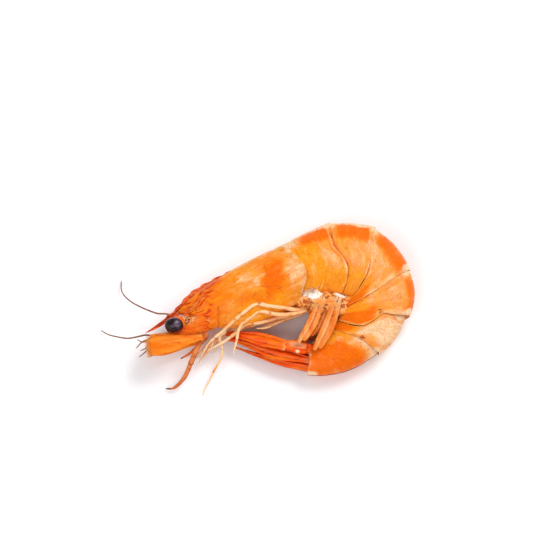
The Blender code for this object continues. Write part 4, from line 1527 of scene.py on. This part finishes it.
def head_base():
    front = border(HEAD_FRONT)
    rear = border(FRONT_EDGE, 1.2, 0.22)
    lay_on = hoop(front, rear, arched(front, rear, -0.4), lambda share: mix(2.3, 4.4, ease(share)),
                  lambda share: MIDDLE, 0.32, HEAD_AROUND)

    def lay(ring, turn):
        lift = -0.8 if ring in (0, HEAD_RINGS - 1) else 0.0
        return lay_on(ring / (HEAD_RINGS - 1), turn, lift)
    piece = skin("head_base", HEAD_RINGS, HEAD_AROUND, lay)
    rounded(piece)
    relief(piece, head_height)
    paint(piece, {"cream": lambda spot, share, level: 0.45 * trough(spot),
                  "freckles": lambda spot, share, level: min(2.0 * trough(spot), 1.0),
                  "mark_and_shade": head_mark, "red": head_red})
    dress(piece, HEAD, "head_shell", "head_front")
    return piece


print("head base points", len(head_base().data.vertices))

# %% Scales and roots of the feelers
RIGHT_PUSH = 1.4             # how far the right side is pushed towards the back
SIDES = (("left", 1.0, 0.0), ("right", -1.0, RIGHT_PUSH))     # name, way up and push
SCALE_STEP = 3.9             # from the middle plane to a scale
SCALE_WIDTHS = (1.0, 3.3, 2.9, 0.8)


def scale_spine(sign, shift):
    height = MIDDLE + sign * SCALE_STEP
    return [(-47.4, -13.5 + shift * 0.3, height), (-54.0, -15.1 + shift, height + sign * 0.25),
            (-60.0, -16.0 + shift, height + sign * 0.1), (-64.8, -16.9 + shift, height - sign * 0.4)]


# The dark rims, the dark end and a thin line near one rim are the scale's own colour; the dark band
# beside the ridge is painted shade.
def scale_rims_and_ridge_shade(along, level):
    return max(0.6 * ease((along - 0.975) / 0.02), 0.5 * ease((0.05 - level) / 0.04),
               0.5 * band(level, 0.56, 0.62, 0.06) * ease((0.95 - along) / 0.2),
               0.35 * band(level, 0.80, 0.84, 0.05))


# The pale line along the ridge is a painted highlight; the pale band near the rim is the scale's own
# colour.
def scale_ridge_highlight_and_pale_band(along, level):
    return (0.42 * bell(level, 0.44, 0.04) * ease((0.95 - along) / 0.3)
            + 0.20 * band(level, 0.12, 0.3, 0.1))


def head_scale(side, sign, shift):
    piece = leaf(f"head_scale_{side}", scale_spine(sign, shift), taper(*SCALE_WIDTHS),
                 lambda share: mix(1.0, 0.55, share), 44, 40, 0.10, 1.5, edge=0.5)
    stain(piece, "red", scale_rims_and_ridge_shade)
    stain(piece, "cream", scale_ridge_highlight_and_pale_band)
    dress(piece, SCALE, "head_shell", f"scale_{side}")


def feeler_root(side, sign):
    route = [(-57.6, -12.6, MIDDLE + sign * 1.5), (-62.3, -12.9, MIDDLE + sign * 1.4),
             (-65.0, -12.8, MIDDLE + sign * 1.35)]
    piece = limb(f"feeler_root_piece_{side}", route, (1.35, 1.2, 0.75), 30, 16, (0.45, 0.75))
    dress(piece, HEAD, "head_shell", f"feeler_root_{side}")


for side, sign, shift in SIDES:
    head_scale(side, sign, shift)
    feeler_root(side, sign)
print("scales and roots", 2 * len(SIDES))

# %% [markdown]
# ## Eyes
# The eye sits on a short thick stalk in the trough behind the beak. A sphere is pressed flat by its
# socket and dented a little by noise, and a soft violet highlight is painted where the light falls on
# it.

# %% Eyes
EYE_RADIUS = 3.0
EYE_SPREAD = 4.7                         # from the middle plane to an eye
EYE_SHAPE = Vector((1.06, 0.85, 1.0))    # a little long, and flattened by the socket
STALK_RADII = (2.4, 2.35, 1.8, 1.5, 1.3)


def eye_ball(side, sign, centre):
    bpy.ops.object.select_all(action="DESELECT")
    bpy.ops.mesh.primitive_uv_sphere_add(segments=48, ring_count=32, radius=EYE_RADIUS * MM)
    ball = bpy.context.object
    ball.name = f"eye_ball_{side}"
    middle = to_frame(centre)
    for point in ball.data.vertices:
        spot = point.co.copy()
        dent = 1.0 - 0.04 * ease((noise.noise(spot / MM / 2.2) - 0.1) / 0.5)
        point.co = spot * EYE_SHAPE * dent + middle
    # The painted highlight lies on the outer side of each ball, leaning towards the tail.
    glint = Vector((0.42, -0.06, 0.9 * sign)).normalized()
    write(ball, "painted_highlight", [ease(((point.co - middle).normalized().dot(glint) - 0.86) / 0.12)
                          for point in ball.data.vertices])
    bpy.ops.object.shade_smooth()
    dress(ball, EYE, "black_eye", f"eye_{side}")


def eye_stalk(side, sign, shift, centre):
    root = Vector((-50.2, -6.2 + shift * 0.5, MIDDLE + sign * 1.6))
    route = [tuple(centre), tuple(mix(centre, root, 0.45)), tuple(root)]
    piece = limb(f"eye_stalk_piece_{side}", route, STALK_RADII, 30, 20, (0.5,))
    stain(piece, "cream", lambda along, level: max(0.25 * ease((0.34 - along) / 0.08),
                                                   0.5 * band(along, 0.36, 0.9, 0.1)))
    stain(piece, "freckles", lambda along, level: band(along, 0.34, 1.1, 0.1))
    stain(piece, "red", lambda along, level: 0.40 * ease((along - 0.42) / 0.1))
    places = [to_board(point.co) for point in piece.data.vertices]
    write(piece, "mark_and_shade", [0.9 * band(along, 0.36, 1.1, 0.1) * ease((streaks(spot, 0.3) - 0.52) / 0.1)
                          for along, spot in zip(read(piece, "along"), places)])
    dress(piece, HEAD, "head_shell", f"eye_stalk_{side}")


for side, sign, shift in SIDES:
    eye_centre = Vector((-56.8, -9.7 + shift, MIDDLE + sign * EYE_SPREAD))
    eye_ball(side, sign, eye_centre)
    eye_stalk(side, sign, shift, eye_centre)
print("eyes", len(SIDES))

# %% [markdown]
# ## Paddles
# Five pairs of paddles hang under the tail. Each is two long narrow flaps, laid side by side and
# jointed a third of the way down, so a paddle is two leaves with a pale face and dark rims.

# %% Paddles
# Each paddle: the root and the tip of its middle on the board, its half width and its height.
PADDLES = {
    "left_1": ((-8.6, -2.6), (-15.2, -15.6), 1.75, 12.2),
    "left_2": ((-3.2, -2.8), (-9.9, -18.2), 2.0, 12.3),
    "left_3": ((-6.6, -3.0), (-12.4, -13.4), 1.4, 10.6),
    "left_4": ((-5.4, -3.4), (-12.6, -12.6), 1.3, 9.3),
    "left_5": ((-4.4, -4.2), (-11.6, -12.2), 1.1, 8.0),
    "right_5": ((-4.6, -4.0), (-11.6, -11.6), 1.0, 6.8),
    "right_4": ((-5.6, -3.6), (-12.6, -12.4), 1.2, 5.6),
    "right_3": ((-6.6, -3.3), (-12.4, -13.0), 1.3, 4.4),
    "right_2": ((-7.2, -3.3), (-12.6, -13.6), 1.3, 3.2),
    "right_1": ((-9.6, -3.2), (-14.8, -13.6), 1.3, 2.0),
}
NECK_LENGTH = 2.4            # how far a paddle reaches up over the belly, beyond its root
FLAP_JOINT = 0.36
ROOT_SPREAD = 1.3            # a root lies this much further from the middle plane than its flap
NECK_SPREAD = 1.85           # and the neck above it even further,
NECK_LOW = 4.0               # but inside the belly
NECK_HIGH = 15.3
SECOND_SHORTER = 1.3
FLAP_WIDTHS = (0.50, 0.74, 0.96, 1.0, 1.0, 0.9, 0.6)


def flap_height(spot, share, level):
    return (0.14 * ripple(spot, 0.8) + 0.08 * ripple(spot, 2.0)
            - 0.12 * bell(share, FLAP_JOINT, 0.02))


def flap_finish(piece, flap):
    """The first flap lies on top and is paler; the second, under it, gets half the pale face as painted
    shade, and a dark line near its middle.
    """
    stain(piece, "cream", lambda along, level: max(
        0.38 * band(level, 0.52, 0.88, 0.16) * (1.0 - 0.5 * flap), 0.60 * ease((0.40 - along) / 0.3)))
    stain(piece, "red", lambda along, level: max(
        0.75 * ease((0.14 - level) / 0.08), 0.85 * ease((level - 0.9) / 0.06),
        0.55 * band(level, 0.34, 0.40, 0.06) * flap, 0.4 * bell(along, FLAP_JOINT, 0.012)))


def paddle(name, root, tip, half, level):
    root, tip = Vector(root), Vector(tip)
    along = (tip - root).normalized()
    across = Vector((-along.y, along.x))
    neck_height = min(max(mix(MIDDLE, level, NECK_SPREAD), NECK_LOW), NECK_HIGH)

    def width(share):
        wide = value_between(FLAP_WIDTHS, share) * half * 0.60
        return wide * (1.0 - 0.08 * bell(share, FLAP_JOINT, 0.025))

    for flap, step in enumerate((-1.0, 1.0)):
        neck = root + across * step * half * 0.25 - along * NECK_LENGTH
        start = root + across * step * half * 0.42
        middle = mix(root, tip, 0.5) + across * (step * half * 0.50 + 0.5)
        end = tip + across * step * half * 0.34 - along * SECOND_SHORTER * flap
        spine = [(*neck, neck_height), (*start, mix(MIDDLE, level, ROOT_SPREAD)),
                 (*middle, level + 0.25 - 0.25 * flap), (*end, level - 0.3)]
        piece = leaf(f"flap_{name}_{flap + 1}", spine, width, lambda share: mix(1.7, 0.6, share),
                     40, 20, 0.06, 1.0)
        relief(piece, flap_height)
        flap_finish(piece, flap)
        dress(piece, FLIPPER, "pale_leg", f"swimmeret_{name}")


for name, measures in PADDLES.items():
    paddle(name, *measures)
print("paddles", len(PADDLES))

# %% [markdown]
# ## Belly
# Between the roots of the paddles the belly is soft and knobbly, with a patch of white cottony flesh
# where the thorax and the tail have come apart. A finely cut ball is pushed out and in by noises
# of several sizes, and its rear end hangs down between the paddles. Flesh has no rows to follow, so
# a ball with even points suits it better than a skin of rings.

# %% Belly
BELLY_CENTRE = Vector((-7.6, -0.9, 9.9))
BELLY_RADII = Vector((9.6, 3.8, 5.3))
LUMP_HEIGHT = 0.60


def belly_place(out):
    """Where a point of the unit ball lies on the belly, before the lumps."""
    spot = BELLY_CENTRE + out * BELLY_RADII
    hang = ease((spot.x + 6.5) / 5.5)
    spot.y += hang * (0.50 * (spot.y - BELLY_CENTRE.y) - 1.1)
    spot.z = mix(spot.z, BELLY_CENTRE.z, 0.04 * hang)
    spot.y += 1.5 * noise.noise(Vector((spot.x / 2.2, 3.0, spot.z / 2.2)))
    return spot


def belly_lump(spot):
    shifted = spot + Vector((13.0, 5.0, 0.0))
    lumps = noise.noise(shifted / 1.9) + 0.5 * noise.noise(shifted / 0.8)
    return lumps + 1.1 * (0.30 - abs(noise.noise(shifted / 1.4)))


def belly_white(spot):
    """The white flesh: a large patch in front and a small one at the rear, both broken up."""
    patch = max(1.3 * oval(spot, (-10.6, 1.0), (4.8, 3.0)), 1.25 * oval(spot, (-1.6, 0.9), (2.6, 2.2)))
    return patch * (0.85 + 0.45 * ripple(spot, 1.1) + 0.35 * ripple(spot, 0.45))


def belly():
    bpy.ops.object.select_all(action="DESELECT")
    bpy.ops.mesh.primitive_ico_sphere_add(subdivisions=7, radius=1.0)
    piece = bpy.context.object
    piece.name = "belly_lumps"
    white, folds, gold = [], [], []
    for point in piece.data.vertices:
        out = point.co.copy()
        spot = belly_place(out)
        lumps = belly_lump(spot)
        spot += out * (LUMP_HEIGHT * lumps - 0.15)
        point.co = to_frame(spot)
        patch = belly_white(spot)
        white.append(patch + 0.25 * ease(lumps / 0.5))
        # Painted shade: the hollows between the lumps are darkened, less so on the white patches.
        folds.append(0.70 * ease((0.05 - lumps) / 0.4) * (1.0 - 0.8 * unit(patch)))
        gold.append(0.8 * ease((spot.y - 0.9 + 1.2 * lumps) / 1.2) * (1.0 - unit(patch)))
    write(piece, "cream", white)
    write(piece, "gold", gold)
    write(piece, "red", folds)
    bpy.ops.object.shade_smooth()
    dress(piece, FLESH, "pale_flesh", "belly_flesh")
    return piece


print("belly points", len(belly().data.vertices))

# %% [markdown]
# ## Bristles
# The scales and the fan end in fine hairs, one leg has a fuzzy tip, and the belly has a tuft of
# cotton. One strand is made from a cone, cut into five and bowed; each hair is a copy of it with its
# own mesh, and all the hairs of a piece are joined at the end. Real hairs made this way stay in the
# exported model, where a particle system would be lost.

# %% One strand
STRAND_CUTS = 4
bpy.ops.object.select_all(action="DESELECT")
bpy.ops.mesh.primitive_cone_add(vertices=3, radius1=1.0, radius2=0.25, depth=1.0)
strand = bpy.context.object
strand.name = "strand"
cut_into_rings(strand, STRAND_CUTS)
for point in strand.data.vertices:
    point.co.z += 0.5
print("strand faces", len(strand.data.polygons))

# %% Hairs and brushes
SEED = 7
dice = random.Random(SEED)


def throw(x, y, z):
    """A random step, up to x, y and z to either side."""
    return Vector((dice.uniform(-x, x), dice.uniform(-y, y), dice.uniform(-z, z)))


def hair(root, way, length, width, bow=0.15):
    """A copy of the strand from root along way, in board millimetres, bowed a little."""
    copy = strand.copy()
    copy.data = strand.data.copy()
    bpy.context.scene.collection.objects.link(copy)
    turn = Vector(way).normalized().to_track_quat("Z", "Y")
    side = Vector((dice.uniform(-1, 1), dice.uniform(-1, 1), 0.0)) * bow * length
    for point in copy.data.vertices:
        share = point.co.z
        flat = Vector((point.co.x * width, point.co.y * width, share * length)) + side * share * share
        spot = Vector(root) + turn @ flat
        spot.z = max(spot.z, 0.03)
        point.co = to_frame(spot)
    return copy


def brush(name, hairs, slot, material):
    bpy.ops.object.select_all(action="DESELECT")
    for piece in hairs:
        piece.select_set(True)
    bpy.context.view_layer.objects.active = hairs[0]
    bpy.ops.object.join()
    piece = bpy.context.object
    piece.name = name
    bpy.ops.object.shade_smooth()
    dress(piece, material, slot)
    print(name, "hairs", len(hairs))


print("seed", SEED)

# %% Hairs along a leaf
HAIRS_END = 0.98             # where along a leaf the hairs of its rim end
END_ROW = 0.985              # and where the row across its end stands
ROOT_INSIDE = 0.94           # the roots stand a little inside the rim
RIM_LEAN = 0.5               # how far the hairs lean outwards at the rim
END_LEAN = 0.25              # and at the end


def edge_hairs(spine, widths, start, count, length, tip, sides=(-1.0, 1.0)):
    """Hairs along the rim of a leaf, count of them from start on, and tip of them across its end."""
    half = taper(*widths)
    hairs = []
    spots = [(mix(start, HAIRS_END, dice.random()), dice.choice(sides)) for step in range(count)]
    spots += [(END_ROW, dice.uniform(-1.0, 1.0)) for step in range(tip)]
    for share, reach in spots:
        along = heading(spine, share).normalized()
        across = Vector((-along.y, along.x, 0.0)).normalized()
        root = spline(spine, share) + across * reach * half(share) * ROOT_INSIDE
        lean = END_LEAN if share > HAIRS_END else RIM_LEAN
        out = across * reach * lean + along + throw(0.15, 0.15, 0.2)
        hairs.append(hair(root, out, length * dice.uniform(0.6, 1.2), 0.07))
    return hairs


for side, sign, shift in SIDES:
    hairs = edge_hairs(scale_spine(sign, shift), SCALE_WIDTHS, 0.50, 60, 1.9, 110, (-1.0,))
    brush(f"scale_hairs_{side}", hairs, "head_shell", BRISTLE)
for node, (spine, widths, thickness) in FAN_BLADES.items():
    if node != "telson":
        brush(f"hairs_{node}", edge_hairs(spine, widths, 0.35, 46, 0.8, 16), "tail_fan", FAN_HAIR)

# %% Fuzz and cotton
FUZZ_HAIRS = 70
COTTON_HAIRS = 160
fuzzy_route = LEGS["leg_left_5"][0]
fuzz = []
for step in range(FUZZ_HAIRS):
    root = spline(fuzzy_route, mix(0.90, 1.0, dice.random()))
    way = Vector((-0.6, -1.0, -0.4)) + throw(0.7, 0.7, 0.7)
    fuzz.append(hair(root, way, dice.uniform(0.7, 1.6), 0.06))
brush("leg_fuzz", fuzz, "pale_leg", FUZZ)
cotton = []
for step in range(COTTON_HAIRS):
    root = Vector((dice.gauss(-10.8, 1.8), dice.gauss(0.8, 0.8), dice.uniform(13.4, 14.8)))
    way = Vector((dice.uniform(-1.0, 1.0), dice.uniform(-0.6, 1.0), dice.uniform(0.0, 0.6)))
    cotton.append(hair(root, way, dice.uniform(0.6, 1.4), 0.09, 0.4))
brush("belly_cotton", cotton, "pale_flesh", COTTON)
bpy.data.objects.remove(strand, do_unlink=True)

# %% [markdown]
# ## The floor
# A plain pale floor carries the shadow. It is a single wide plane, because its edge has to lie far
# outside every view.

# %% Floor
FLOOR_SIZE = 6.0
FLOOR_COLOUR = (0.93, 0.925, 0.94, 1.0)
bpy.ops.object.select_all(action="DESELECT")
bpy.ops.mesh.primitive_plane_add(size=FLOOR_SIZE, location=(0.0, 0.0, -0.0001))
floor = bpy.context.object
floor.name = "floor"
paper, paper_tree, paper_shader = new_finish("floor_paper", 0.6)
paper_shader.inputs["Base Color"].default_value = FLOOR_COLOUR
floor.data.materials.append(paper)
print("floor", FLOOR_SIZE, "m wide")
